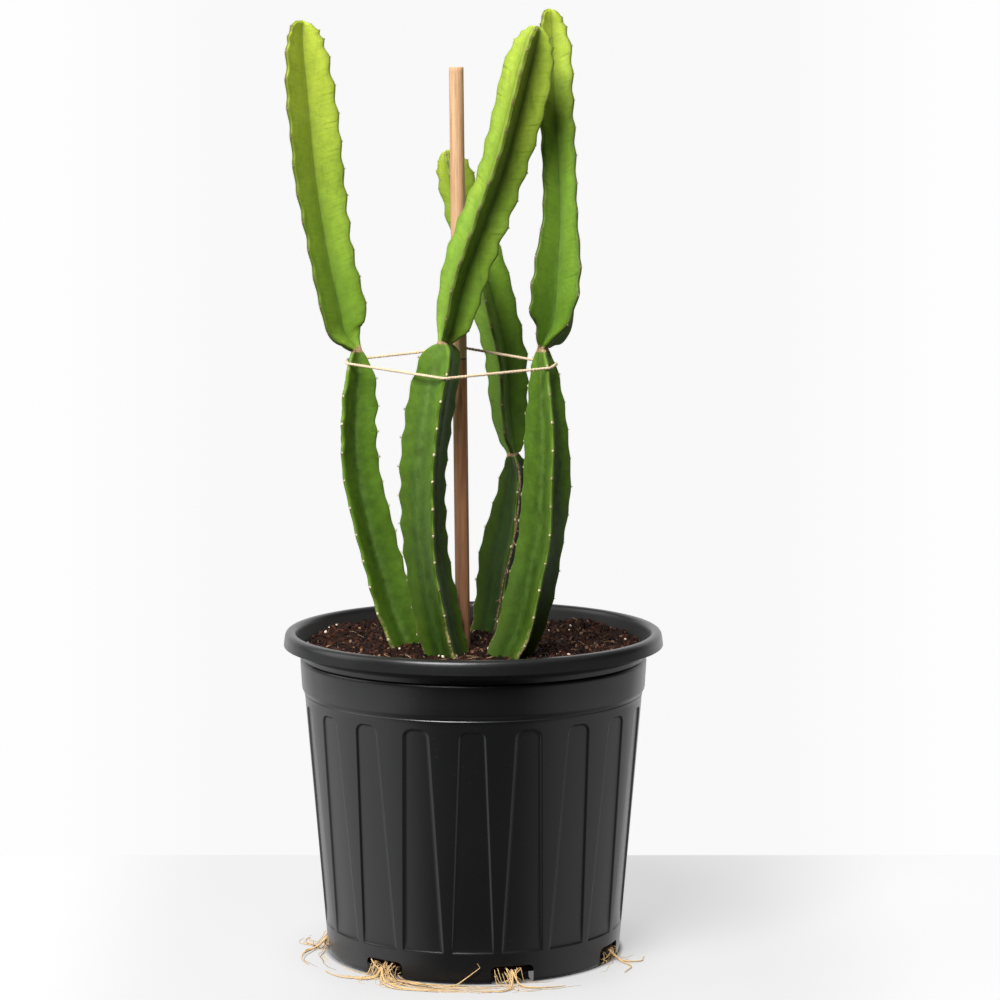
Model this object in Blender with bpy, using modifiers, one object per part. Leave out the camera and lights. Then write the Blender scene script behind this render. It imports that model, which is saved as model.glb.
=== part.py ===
"""Potted dragon fruit cactus in a fluted nursery pot.

Metres, +Z up, the origin at the middle of the pot's foot. Angles round the pot and round a stem are in
degrees from -Y, the front, towards +X.
"""

import math
import random

import bmesh
import bpy
import numpy as np
from mathutils import Matrix, Vector, noise
from mathutils.geometry import intersect_point_line

CLEARANCE = 0.0003  # between pieces that touch

# Pot: its outer sizes
RIM_RADIUS = 0.140
RIM_HEIGHT = 0.240
LIP_BOTTOM = 0.2296
COLLAR_RADIUS = 0.1279
COLLAR_TOP = 0.2196
BODY_RADIUS = 0.1246
BODY_TOP = 0.1932
BASE_RADIUS = 0.1086
FOOT_HEIGHT = 0.003
WALL = 0.0024
FOOT_RING_INSIDE = 0.096
FLOOR_UNDERSIDE = 0.005
FLOOR_TOP = 0.007
POT_STEPS = 57  # three to a flute

FLUTES = 19
FLUTE_DEPTH = 0.0012
FLUTE_LOW = 0.0224
FLUTE_HIGH = 0.1877
FLUTE_WIDTH_LOW = 0.0316
FLUTE_WIDTH_HIGH = 0.0194
FLUTE_CORNER = 0.0065
FLUTE_DRAFT = 0.7  # sideways for each unit of depth

DRAIN_HOLES = 7
FIRST_DRAIN_HOLE = -36.2
DRAIN_WIDTH = 0.032
DRAIN_HEIGHT = 0.013
DRAIN_CORNER = 0.004

# Potting mix
MIX_TOP = 0.2275
MIX_BUMP = 0.0022
MIX_STEPS = 38
MIX_RINGS = 7

# Stems: rib radius is from the centre line to a rib's crest
RIBS = 3
AREOLE_PITCH = 0.020
SCALLOP_DEPTH = 0.0017
WAVE = (1.0, 0.0, 0.45)  # crest, the notch above it, and half way up to the next crest
MARGIN_HALF = 0.0024  # half the thickness of a rib's edge
SPINE_RADIUS = 0.0013
SPINE_HEIGHT = 0.0032
SPINE_ROOT = 0.002
SMALLEST_SPINED = 0.0085  # rib radius under which a neck or tip is bare
TIE_REACH = 0.0048  # the twine and the aerial root leave no spine this near them

# Each joint's centre line and rib radius: x, y, z, radius, from its lower end to its upper end
STEMS = {
    "stem_left": {
        "turns": (-50, -50, -50, -50),
        "lower": (
            (-0.0380, 0.004, 0.180, 0.0110),
            (-0.0410, 0.004, 0.200, 0.0160),
            (-0.0463, 0.004, 0.224, 0.0178),
            (-0.0602, 0.004, 0.261, 0.0176),
            (-0.0798, 0.003, 0.336, 0.0164),
            (-0.0848, 0.002, 0.380, 0.0158),
            (-0.0841, 0.002, 0.410, 0.0150),
            (-0.0833, 0.002, 0.4275, 0.0128),
            (-0.0851, 0.002, 0.4407, 0.0073),
            (-0.0854, 0.002, 0.4466, 0.0044),
        ),
        "upper": (
            (-0.0854, 0.002, 0.4466, 0.0044),
            (-0.0894, 0.002, 0.4532, 0.0095),
            (-0.0930, 0.001, 0.4613, 0.0152),
            (-0.0950, 0.000, 0.476, 0.0186),
            (-0.1000, -0.001, 0.498, 0.0193),
            (-0.1063, -0.002, 0.531, 0.0190),
            (-0.1122, -0.003, 0.571, 0.0205),
            (-0.1162, -0.004, 0.614, 0.0214),
            (-0.1188, -0.004, 0.643, 0.0202),
            (-0.1212, -0.004, 0.664, 0.0166),
            (-0.1222, -0.004, 0.677, 0.0101),
            (-0.1225, -0.004, 0.6843, 0.0029),
        ),
    },
    "stem_front": {
        "turns": (14.5, 14.5, -15, -15),
        "lower": (
            (-0.0130, -0.046, 0.182, 0.0120),
            (-0.0140, -0.046, 0.205, 0.0170),
            (-0.0165, -0.046, 0.226, 0.0190),
            (-0.0225, -0.046, 0.250, 0.0196),
            (-0.0325, -0.047, 0.310, 0.0200),
            (-0.0337, -0.048, 0.357, 0.0212),
            (-0.0312, -0.048, 0.386, 0.0210),
            (-0.0269, -0.049, 0.415, 0.0205),
            (-0.0222, -0.050, 0.439, 0.0176),
            (-0.0209, -0.050, 0.4493, 0.0100),
            (-0.0209, -0.050, 0.4558, 0.0050),
        ),
        "upper": (
            (-0.0209, -0.050, 0.4558, 0.0050),
            (-0.0184, -0.050, 0.4623, 0.0100),
            (-0.0156, -0.051, 0.472, 0.0157),
            (-0.0086, -0.053, 0.502, 0.0194),
            (0.0059, -0.055, 0.5425, 0.0197),
            (0.0196, -0.057, 0.582, 0.0202),
            (0.0322, -0.060, 0.629, 0.0212),
            (0.0376, -0.061, 0.651, 0.0190),
            (0.0422, -0.062, 0.668, 0.0127),
            (0.0450, -0.062, 0.6764, 0.0063),
            (0.0457, -0.062, 0.6799, 0.0021),
        ),
    },
    "stem_right": {
        "turns": (9, 9, 10, 72),
        "lower": (
            (0.0240, -0.049, 0.182, 0.0120),
            (0.0255, -0.049, 0.205, 0.0175),
            (0.0285, -0.049, 0.228, 0.0196),
            (0.0370, -0.049, 0.249, 0.0206),
            (0.0464, -0.047, 0.290, 0.0209),
            (0.0518, -0.046, 0.320, 0.0206),
            (0.0546, -0.043, 0.367, 0.0194),
            (0.0538, -0.041, 0.400, 0.0170),
            (0.0517, -0.039, 0.434, 0.0122),
            (0.0509, -0.038, 0.444, 0.0079),
            (0.0506, -0.038, 0.4513, 0.0043),
        ),
        "upper": (
            (0.0506, -0.038, 0.4513, 0.0043),
            (0.0534, -0.038, 0.457, 0.0094),
            (0.0570, -0.037, 0.4634, 0.0151),
            (0.0592, -0.036, 0.4727, 0.0200),
            (0.0621, -0.034, 0.491, 0.0220),
            (0.0650, -0.031, 0.513, 0.0202),
            (0.0666, -0.028, 0.540, 0.0160),
            (0.0653, -0.025, 0.571, 0.0146),
            (0.0631, -0.022, 0.601, 0.0149),
            (0.0602, -0.018, 0.636, 0.0151),
            (0.0584, -0.016, 0.664, 0.0133),
            (0.0566, -0.014, 0.6813, 0.0093),
            (0.0552, -0.014, 0.6927, 0.0029),
        ),
    },
    "stem_back": {
        "turns": (10, 10, -6, -6),
        "lower": (
            (0.0070, 0.050, 0.180, 0.0110),
            (0.0090, 0.050, 0.200, 0.0160),
            (0.0131, 0.050, 0.225, 0.0180),
            (0.0185, 0.049, 0.254, 0.0196),
            (0.0226, 0.048, 0.285, 0.0206),
            (0.0271, 0.047, 0.308, 0.0198),
            (0.0302, 0.046, 0.331, 0.0163),
            (0.0319, 0.045, 0.352, 0.0127),
            (0.0304, 0.044, 0.360, 0.0082),
            (0.0293, 0.044, 0.3654, 0.0049),
        ),
        "upper": (
            (0.0293, 0.044, 0.3654, 0.0049),
            (0.0289, 0.044, 0.3714, 0.0097),
            (0.0274, 0.044, 0.380, 0.0149),
            (0.0248, 0.043, 0.403, 0.0175),
            (0.0220, 0.043, 0.440, 0.0193),
            (0.0137, 0.042, 0.476, 0.0197),
            (0.0018, 0.041, 0.518, 0.0193),
            (-0.0055, 0.040, 0.538, 0.0185),
            (-0.0114, 0.039, 0.559, 0.0170),
            (-0.0158, 0.038, 0.577, 0.0140),
            (-0.0180, 0.038, 0.5856, 0.0088),
            (-0.0191, 0.038, 0.5907, 0.0029),
        ),
    },
}

# Stake: 610 mm long
STAKE_RADIUS = 0.0053
STAKE_FOOT = (-0.0054, -0.0264, 0.042)
STAKE_TOP = (-0.0120, -0.0120, 0.652)
STAKE_EDGE = 0.0005

# Twine: a closed loop drawn taut round three stems and behind the stake, bent where it meets their ribs
TWINE_RADIUS = 0.0011
TWINE_ROUTE = (
    (-0.0923, -0.0050, 0.4372),
    (-0.0226, -0.0673, 0.4322),
    (-0.0208, -0.0684, 0.4320),
    (-0.0192, -0.0691, 0.4320),
    (-0.0178, -0.0692, 0.4320),
    (0.0537, -0.0513, 0.4384),
    (0.0546, -0.0509, 0.4385),
    (0.0568, -0.0478, 0.4387),
    (0.0607, -0.0364, 0.4391),
    (0.0607, -0.0325, 0.4393),
    (0.0600, -0.0315, 0.4394),
    (0.0592, -0.0311, 0.4395),
    (-0.0050, -0.0112, 0.4497),
    (-0.0109, -0.0095, 0.4497),
    (-0.0856, 0.0114, 0.4396),
    (-0.0869, 0.0113, 0.4394),
    (-0.0877, 0.0106, 0.4393),
    (-0.0904, 0.0083, 0.4390),
    (-0.0934, 0.0003, 0.4380),
    (-0.0932, -0.0036, 0.4375),
)

# Aerial root of the back stem, from its neck down into the mix
AERIAL_ROOT_RADIUS = 0.0012
AERIAL_ROOT_HOLE_RADIUS = 0.0026
AERIAL_ROOT_HOLE_DEPTH = 0.040
AERIAL_ROOT_ROUTE = (
    (0.0324, 0.0342, 0.3595),
    (0.0341, 0.0275, 0.3525),
    (0.0343, 0.0248, 0.3400),
    (0.0330, 0.0230, 0.3250),
    (0.0300, 0.0205, 0.3035),
    (0.0262, 0.0195, 0.2866),
    (0.0220, 0.0195, 0.2723),
    (0.0197, 0.0195, 0.2573),
    (0.0172, 0.0200, 0.2440),
    (0.0144, 0.0205, 0.2275),
    (0.0140, 0.0205, 0.2150),
)

# Roots out of the drain holes: a spray's hole, counted round from the first, and its roots' sweeps round it
ROOT_RADIUS = 0.0007
ROOT_KNOT_RADIUS = 0.0024
ROOT_POINTS = 9
ROOT_WANDER = 0.0012
ROOTS_REACH = (0.117, 0.134)  # how far from the pot's axis they end
ROOT_SPRAYS = {
    "roots_front_left": (0, (-20, -7, 12, 22, 31)),
    "roots_front": (1, (-12, -4, 15)),
    "roots_right": (2, (-12, 9)),
    "roots_left": (6, (-13, 10, 22)),
}

POT_COLOUR = (0.012, 0.012, 0.013)
MIX_COLOUR = (0.045, 0.018, 0.011)
STEM_COLOUR = (0.16, 0.33, 0.03)
STAKE_COLOUR = (0.50, 0.29, 0.16)
TWINE_COLOUR = (0.60, 0.42, 0.26)
ROOT_COLOUR = (0.55, 0.36, 0.16)


def clear_scene():
    for obj in list(bpy.data.objects):
        bpy.data.objects.remove(obj, do_unlink=True)


def add_collection(name, cutters=False):
    collection = bpy.data.collections.new(name)
    bpy.context.scene.collection.children.link(collection)
    collection.hide_render = cutters
    return collection


def add_material(name, colour, roughness):
    material = bpy.data.materials.new(name)
    material.use_nodes = True
    shader = material.node_tree.nodes["Principled BSDF"]
    shader.inputs["Base Color"].default_value = (*colour, 1)
    shader.inputs["Roughness"].default_value = roughness
    shader.inputs["Metallic"].default_value = 0
    return material


def add_object(name, data, collection):
    obj = bpy.data.objects.new(name, data)
    collection.objects.link(obj)
    return obj


def add_cutter(name, mesh, cutters):
    obj = add_object(name, mesh, cutters)
    obj.hide_render = True
    obj.display_type = "WIRE"
    return obj


def mesh_from(name, points, edges, faces):
    mesh = bpy.data.meshes.new(name)
    mesh.from_pydata([tuple(point) for point in points], edges, faces)
    mesh.update()
    return mesh


def mesh_from_bmesh(name, shape):
    mesh = bpy.data.meshes.new(name)
    shape.to_mesh(mesh)
    shape.free()
    return mesh


def bake(obj):
    """Makes what the modifiers give, or what a curve gives with its caps welded, the object's own mesh."""
    bpy.context.view_layer.update()
    mesh = bpy.data.meshes.new_from_object(obj.evaluated_get(bpy.context.evaluated_depsgraph_get()))
    if obj.type == "CURVE":
        shape = bmesh.new()
        shape.from_mesh(mesh)
        bmesh.ops.remove_doubles(shape, verts=shape.verts, dist=1e-6)
        shape.to_mesh(mesh)
        shape.free()
        name = obj.name
        collection = obj.users_collection[0]
        bpy.data.objects.remove(obj, do_unlink=True)
        return add_object(name, mesh, collection)
    obj.modifiers.clear()
    obj.data = mesh
    return obj


def boolean(obj, operation, other, solver="EXACT"):
    modifier = obj.modifiers.new(operation.title(), "BOOLEAN")
    modifier.operation = operation
    modifier.solver = solver
    if isinstance(other, bpy.types.Collection):
        modifier.operand_type = "COLLECTION"
        modifier.collection = other
    else:
        modifier.object = other


def fuse(obj, pieces):
    """Joins the objects of a collection to obj, and removes them and the collection."""
    boolean(obj, "UNION", pieces, solver="MANIFOLD")
    obj = bake(obj)
    for piece in list(pieces.objects):
        bpy.data.objects.remove(piece, do_unlink=True)
    bpy.data.collections.remove(pieces)
    return obj


def finish(obj, material, sharp=35):
    mesh = obj.data
    mesh.materials.clear()
    mesh.materials.append(material)
    if obj.type == "MESH":
        mesh.shade_smooth()
        mesh.set_sharp_from_angle(angle=math.radians(sharp))


def around(angle, radius, height):
    turned = math.radians(angle)
    return Vector((radius * math.sin(turned), -radius * math.cos(turned), height))


def turned_body(name, profile, steps, collection, closed=False):
    """A body turned round Z from (radius, height) points, which run down its outer side."""
    count = len(profile)
    edges = [(i, (i + 1) % count) for i in range(count if closed else count - 1)]
    mesh = mesh_from(name, [(radius, 0, height) for radius, height in profile], edges, [])
    obj = add_object(name, mesh, collection)
    screw = obj.modifiers.new("Turn", "SCREW")
    screw.steps = steps
    screw.render_steps = steps
    screw.use_merge_vertices = True
    screw.merge_threshold = 1e-5
    return obj


def wall_radius(height):
    """The tapered wall's outer radius."""
    rise = (height - FOOT_HEIGHT) / (BODY_TOP - FOOT_HEIGHT)
    return BASE_RADIUS + (BODY_RADIUS - BASE_RADIUS) * rise


def pot_inside():
    """The pot's inner profile from the middle of its floor up to the rim."""
    return [
        (0, FLOOR_TOP),
        (wall_radius(FLOOR_TOP) - WALL, FLOOR_TOP),
        (BODY_RADIUS - WALL, BODY_TOP),
        (COLLAR_RADIUS - 0.0040, BODY_TOP + 0.006),
        (COLLAR_RADIUS - 0.0032, COLLAR_TOP + 0.001),
        (COLLAR_RADIUS - 0.0019, COLLAR_TOP + 0.008),
        (RIM_RADIUS - 0.0092, RIM_HEIGHT - 0.003),
        (RIM_RADIUS - 0.0080, RIM_HEIGHT - 0.0007),
    ]


def pot_outside():
    """The pot's outer profile from the rim's crest down to the middle of its floor's underside."""
    return [
        (RIM_RADIUS - 0.0055, RIM_HEIGHT),
        (RIM_RADIUS - 0.0030, RIM_HEIGHT - 0.0004),
        (RIM_RADIUS - 0.0011, RIM_HEIGHT - 0.0025),
        (RIM_RADIUS, LIP_BOTTOM),
        (RIM_RADIUS - 0.0016, LIP_BOTTOM),
        (RIM_RADIUS - 0.0028, RIM_HEIGHT - 0.0036),
        (RIM_RADIUS - 0.0076, RIM_HEIGHT - 0.0038),
        (COLLAR_RADIUS - 0.0001, COLLAR_TOP + 0.009),
        (COLLAR_RADIUS - 0.0015, COLLAR_TOP + 0.0008),
        (COLLAR_RADIUS, COLLAR_TOP),
        (COLLAR_RADIUS - 0.0013, BODY_TOP + 0.0053),
        (BODY_RADIUS - 0.0002, BODY_TOP + 0.0014),
        (BODY_RADIUS + 0.0003, BODY_TOP + 0.0005),
        (BODY_RADIUS, BODY_TOP),
        (BASE_RADIUS, FOOT_HEIGHT),
        (BASE_RADIUS - 0.0009, FOOT_HEIGHT - 0.0021),
        (BASE_RADIUS - 0.0030, 0),
        (FOOT_RING_INSIDE, 0),
        (FOOT_RING_INSIDE - 0.001, FLOOR_UNDERSIDE),
        (0, FLOOR_UNDERSIDE),
    ]


def arch_outline(half_low, half_high, height, corner):
    """(across, up) points of an upright panel with a rounded top, anticlockwise from its lower left."""
    points = [(-half_low, 0), (half_low, 0)]
    for side in (1, -1):
        for step in range(4):
            turn = math.radians(30 * (step if side == 1 else 3 - step))
            across = half_high - corner * (1 - math.cos(turn))
            points.append((side * across, height - corner * (1 - math.sin(turn))))
    return points


def radial_prisms(name, angles, outline, foot, lean, reach, draft):
    """Prisms round the pot, one for each angle, of the outline drawn on a plane.

    The plane stands at foot, a (radius, height) point, and leans outwards by lean. reach is how far a prism
    goes behind and before it, and draft how much wider it grows on the way.
    """
    shape = bmesh.new()
    middle = max(up for _, up in outline) / 2
    for angle in angles:
        across_way = around(angle + 90, 1, 0)
        out_way = around(angle, math.cos(lean), -math.sin(lean))
        up_way = around(angle, math.sin(lean), math.cos(lean))
        rings = []
        for depth in reach:
            spread = draft * depth
            ring = []
            for across, up in outline:
                wide = across + spread * math.copysign(1, across)
                tall = up + spread * math.copysign(1, up - middle)
                place = around(angle, *foot) + across_way * wide + up_way * tall + out_way * depth
                ring.append(shape.verts.new(place))
            rings.append(ring)
        shape.faces.new(rings[0])
        shape.faces.new(reversed(rings[1]))
        for i in range(len(outline)):
            j = (i + 1) % len(outline)
            shape.faces.new((rings[0][j], rings[0][i], rings[1][i], rings[1][j]))
    bmesh.ops.recalc_face_normals(shape, faces=shape.faces)
    return mesh_from_bmesh(name, shape)


def make_pot(collection, cutters, material):
    pot = turned_body("pot", pot_inside() + pot_outside(), POT_STEPS, collection)

    lean = math.atan2(BODY_RADIUS - BASE_RADIUS, BODY_TOP - FOOT_HEIGHT)
    outside = 0.004  # how far the cutters stand out of the wall
    low, high = FLUTE_LOW - 2 * outside, FLUTE_HIGH + outside
    band = [
        (wall_radius(high) + outside, high),
        (wall_radius(low) + outside, low),
        (wall_radius(low) - FLUTE_DEPTH, low),
        (wall_radius(high) - FLUTE_DEPTH, high),
    ]
    flutes = turned_body("flute_cutter", band, POT_STEPS, cutters, closed=True)
    flutes.hide_render = True
    flutes.display_type = "WIRE"
    panel = arch_outline(
        FLUTE_WIDTH_LOW / 2, FLUTE_WIDTH_HIGH / 2, (FLUTE_HIGH - FLUTE_LOW) / math.cos(lean), FLUTE_CORNER
    )
    flute_angles = [360 / FLUTES * i for i in range(FLUTES)]
    foot = (wall_radius(FLUTE_LOW), FLUTE_LOW)
    panels = radial_prisms("flute_panels", flute_angles, panel, foot, lean, (-0.003, 0.003), FLUTE_DRAFT)
    boolean(flutes, "INTERSECT", add_cutter("flute_panels", panels, cutters), solver="MANIFOLD")
    boolean(pot, "DIFFERENCE", flutes)

    below = 0.001
    arch = arch_outline(DRAIN_WIDTH / 2, DRAIN_WIDTH / 2, DRAIN_HEIGHT + below, DRAIN_CORNER)
    hole_angles = [drain_angle(i) for i in range(DRAIN_HOLES)]
    holes = radial_prisms("drain_cutter", hole_angles, arch, (BASE_RADIUS, -below), 0, (-0.016, 0.006), 0)
    boolean(pot, "DIFFERENCE", add_cutter("drain_cutter", holes, cutters))
    finish(bake(pot), material)


def drain_angle(index):
    return FIRST_DRAIN_HOLE + 360 / DRAIN_HOLES * index


def smooth_route(rows, spacing):
    """Rows of numbers, the first three of them a point, read off a smooth curve through the given rows."""
    given = np.array(rows, float)
    given = np.concatenate([2 * given[:1] - given[1:2], given, 2 * given[-1:] - given[-2:-1]])
    dense = []
    for a, b, c, d in zip(given, given[1:], given[2:], given[3:]):
        for t in np.arange(0, 1, 1 / 12):
            dense.append(
                b
                + t * (c - a) / 2
                + t**2 * (a - 2.5 * b + 2 * c - d / 2)
                + t**3 * (1.5 * (b - c) + (d - a) / 2)
            )
    dense = np.array(dense + [given[-2]])
    along = np.concatenate([[0], np.cumsum(np.linalg.norm(np.diff(dense[:, :3], axis=0), axis=1))])
    places = np.linspace(0, along[-1], max(2, round(along[-1] / spacing)) + 1)
    return np.stack([np.interp(places, along, column) for column in dense.T], axis=1)


def stem_rings(stem):
    """What each ring of a stem is made from: centre, way along the stem, turn, rib radius and number.

    The number counts from the joint's lower end, and three rings make one pitch of the areoles.
    """
    rings = []
    first_turn, last_turn = stem["turns"][:2], stem["turns"][2:]
    for rows, (low_turn, high_turn) in ((stem["lower"], first_turn), (stem["upper"], last_turn)):
        route = smooth_route(rows, AREOLE_PITCH / len(WAVE))
        ways = np.gradient(route[:, :3], axis=0)
        start = 1 if rings else 0  # the joints share the ring at the neck
        for i in range(start, len(route)):
            turn = low_turn + (high_turn - low_turn) * i / (len(route) - 1)
            rings.append((Vector(route[i, :3]), Vector(ways[i]).normalized(), turn, route[i, 3], i))
    return rings


def ring_ways(way, turn):
    """The direction of the first rib and the one a quarter turn on, square to the stem."""
    out = around(turn, 1, 0)
    out = (out - way * out.dot(way)).normalized()
    return out, way.cross(out)


def rib_crest(radius, ring_number, rib, scalloped):
    """The radius at a rib's edge on this ring: the ribs' scallops are a third of a pitch apart."""
    if not scalloped:
        return radius
    depth = SCALLOP_DEPTH * min(1, max(0, (radius - 0.006) / 0.008))
    return radius - depth * (1 - WAVE[(ring_number + rib) % len(WAVE)])


def stem_section(ring, scalloped, grow=0.0):
    """The points of a three-ribbed ring: for each rib the groove before it, then its edge as three points."""
    centre, way, turn, radius, number = ring
    out, side = ring_ways(way, turn)
    groove = min(0.85 * radius, 0.0045 + 0.18 * radius) + grow
    half = min(MARGIN_HALF, radius / 2)
    points = []
    for rib in range(RIBS):
        crest = rib_crest(radius, number, rib, scalloped) + grow
        rib_turn = math.radians(360 / RIBS * rib)
        rib_out = out * math.cos(rib_turn) + side * math.sin(rib_turn)
        rib_side = way.cross(rib_out)
        groove_turn = rib_turn - math.pi / RIBS
        points.append(centre + (out * math.cos(groove_turn) + side * math.sin(groove_turn)) * groove)
        points.append(centre + rib_out * (crest - 0.9 * half) - rib_side * (half + grow))
        points.append(centre + rib_out * crest)
        points.append(centre + rib_out * (crest - 0.9 * half) + rib_side * (half + grow))
    return points


def loft(name, sections, low_tip, high_tip):
    """A closed skin over sections of equally many points, ending in a point below and one above."""
    count = len(sections[0])
    points = [point for section in sections for point in section] + [low_tip, high_tip]
    low, high = len(points) - 2, len(points) - 1
    top = (len(sections) - 1) * count
    faces = []
    for i in range(count):
        j = (i + 1) % count
        faces.append((low, j, i))
        faces.append((high, top + i, top + j))
        for start in range(0, top, count):
            faces.append((start + i, start + j, start + count + j, start + count + i))
    return mesh_from(name, points, [], faces)


def near_route(place, route):
    """Whether a place is within reach of a line through the given points."""
    for start, end in zip(route, route[1:]):
        foot, share = intersect_point_line(place, Vector(start), Vector(end))
        if 0 <= share <= 1 and (place - foot).length < TIE_REACH:
            return True
    return False


def areole_spines(name, rings, rng):
    """Short three-sided spines, broad at the foot like their areoles, on every second crest of each rib."""
    shape = bmesh.new()
    for centre, way, turn, radius, number in rings:
        if radius < SMALLEST_SPINED or centre.z < MIX_TOP + 0.006:
            continue
        out, side = ring_ways(way, turn)
        for rib in range(RIBS):
            crest = number + rib
            if crest % len(WAVE) or (crest // len(WAVE) + rib) % 2:
                continue
            rib_turn = math.radians(360 / RIBS * rib)
            rib_out = out * math.cos(rib_turn) + side * math.sin(rib_turn)
            areole = centre + rib_out * radius
            if near_route(areole, TWINE_ROUTE) or near_route(areole, AERIAL_ROOT_ROUTE):
                continue
            lean = way * rng.uniform(0.15, 0.6) + way.cross(rib_out) * rng.uniform(-0.2, 0.2)
            aim = (rib_out + lean).normalized()
            place = areole + aim * (SPINE_HEIGHT - SPINE_ROOT) / 2
            bmesh.ops.create_cone(
                shape,
                cap_ends=True,
                segments=3,
                radius1=SPINE_RADIUS,
                radius2=0,
                depth=SPINE_HEIGHT + SPINE_ROOT,
                matrix=Matrix.Translation(place) @ aim.to_track_quat("Z", "Y").to_matrix().to_4x4(),
            )
    return mesh_from_bmesh(name, shape)


def make_stem(name, stem, collection, cutters, material, seed):
    """One stem, and the cutter for its hole in the mix."""
    rings = stem_rings(stem)
    end = 0.0015
    low_tip = rings[0][0] - rings[0][1] * end
    high_tip = rings[-1][0] + rings[-1][1] * end
    skin = [stem_section(ring, ring[0].z > MIX_TOP) for ring in rings]
    obj = add_object(name, loft(name, skin, low_tip, high_tip), collection)
    spines = add_collection(name + "_spines")
    add_object(name + "_spines", areole_spines(name, rings, random.Random(seed)), spines)
    finish(fuse(obj, spines), material)

    buried = [ring for ring in rings if ring[0].z < MIX_TOP + 0.02]
    hole = [stem_section(ring, False, CLEARANCE * 1.5) for ring in buried]
    above = buried[-1][0] + buried[-1][1] * end
    deeper = rings[0][1] * 2 * CLEARANCE
    hole[0] = [point - deeper for point in hole[0]]
    below = low_tip - deeper
    return add_cutter(name + "_hole", loft(name, hole, below, above), cutters)


def cylinder(name, radius, depth):
    shape = bmesh.new()
    bmesh.ops.create_cone(shape, cap_ends=True, segments=16, radius1=radius, radius2=radius, depth=depth)
    return mesh_from_bmesh(name, shape)


def make_stake(collection, cutters, material):
    foot, top = Vector(STAKE_FOOT), Vector(STAKE_TOP)
    length = (top - foot).length
    lie = Matrix.Translation((foot + top) / 2) @ (top - foot).to_track_quat("Z", "Y").to_matrix().to_4x4()
    stake = add_object("stake", cylinder("stake", STAKE_RADIUS, length), collection)
    stake.matrix_world = lie
    bevel = stake.modifiers.new("Worn edges", "BEVEL")
    bevel.width = STAKE_EDGE
    bevel.segments = 1
    finish(stake, material)
    hole = cylinder("stake_hole", STAKE_RADIUS + CLEARANCE, length + 2 * CLEARANCE)
    hole = add_cutter("stake_hole", hole, cutters)
    hole.matrix_world = lie
    return hole


def make_mix(collection, cutters, holes, material):
    """The pot's filling: a plug inside the pot's wall with an uneven top."""
    inside = [point for point in pot_inside() if 0 < point[0] and point[1] < COLLAR_TOP + 0.002]
    flats = RIM_RADIUS * (1 - math.cos(math.pi / POT_STEPS))  # how far they lie inside the wall's corners
    gap = CLEARANCE + flats
    side = [(radius - gap, max(height, FLOOR_TOP + CLEARANCE)) for radius, height in inside]
    edge_radius = side[-1][0]
    top = [(edge_radius * i / MIX_RINGS, MIX_TOP) for i in range(MIX_RINGS)]
    edge = [(edge_radius, MIX_TOP - 0.001)]
    profile = top + edge + side[::-1] + [(0, FLOOR_TOP + CLEARANCE)]
    mix = bake(turned_body("potting_mix", profile, MIX_STEPS, collection))
    for vertex in mix.data.vertices:
        if vertex.co.z > MIX_TOP - 0.002:
            vertex.co.z += MIX_BUMP * noise.noise(vertex.co * 45)
    pieces = add_collection("mix_holes", cutters=True)
    for hole in holes:
        cutters.objects.unlink(hole)
        pieces.objects.link(hole)
    boolean(mix, "DIFFERENCE", pieces)
    finish(bake(mix), material)


def tube(name, route, radius, sides_resolution, collection, closed=False):
    """A round tube through the given points."""
    curve = bpy.data.curves.new(name, "CURVE")
    curve.dimensions = "3D"
    curve.bevel_depth = radius
    curve.bevel_resolution = sides_resolution
    curve.use_fill_caps = not closed
    spline = curve.splines.new("POLY")
    spline.points.add(len(route) - 1)
    for point, place in zip(spline.points, route):
        point.co = (*place[:3], 1)
    spline.use_cyclic_u = closed
    return add_object(name, curve, collection)


def make_twine(collection, material):
    twine = tube("twine", TWINE_ROUTE, TWINE_RADIUS, 2, collection, closed=True)
    finish(bake(twine), material)


def make_aerial_root(collection, cutters, material):
    root = tube("aerial_root", smooth_route(AERIAL_ROOT_ROUTE, 0.009), AERIAL_ROOT_RADIUS, 1, collection)
    finish(bake(root), material)
    hole = cylinder("aerial_root_hole", AERIAL_ROOT_HOLE_RADIUS, AERIAL_ROOT_HOLE_DEPTH)
    hole = add_cutter("aerial_root_hole", hole, cutters)
    hole.location = AERIAL_ROOT_ROUTE[-1]
    hole.location.z += AERIAL_ROOT_HOLE_DEPTH / 2 - 0.001
    return hole


def floor_root(angle, sweep, reach, rng):
    """One root from the mix behind a drain hole, down to the surface, then along it round the pot's foot."""
    start = wall_radius(FLOOR_TOP) + 0.0005
    phase = rng.uniform(0, 2 * math.pi)
    route = []
    for i in range(ROOT_POINTS):
        t = i / (ROOT_POINTS - 1)
        wander = ROOT_WANDER * math.sin(phase + 7 * t) * min(1, 3 * t)
        radius = start + (reach - start) * math.sin(math.pi / 2 * min(1, 1.5 * t)) + wander
        height = ROOT_RADIUS * 1.2 + 0.0075 * max(0, 1 - 5 * t) ** 1.5
        route.append(around(angle + sweep * t**1.3, radius, height))
    return smooth_route(route, 0.007)


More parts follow.
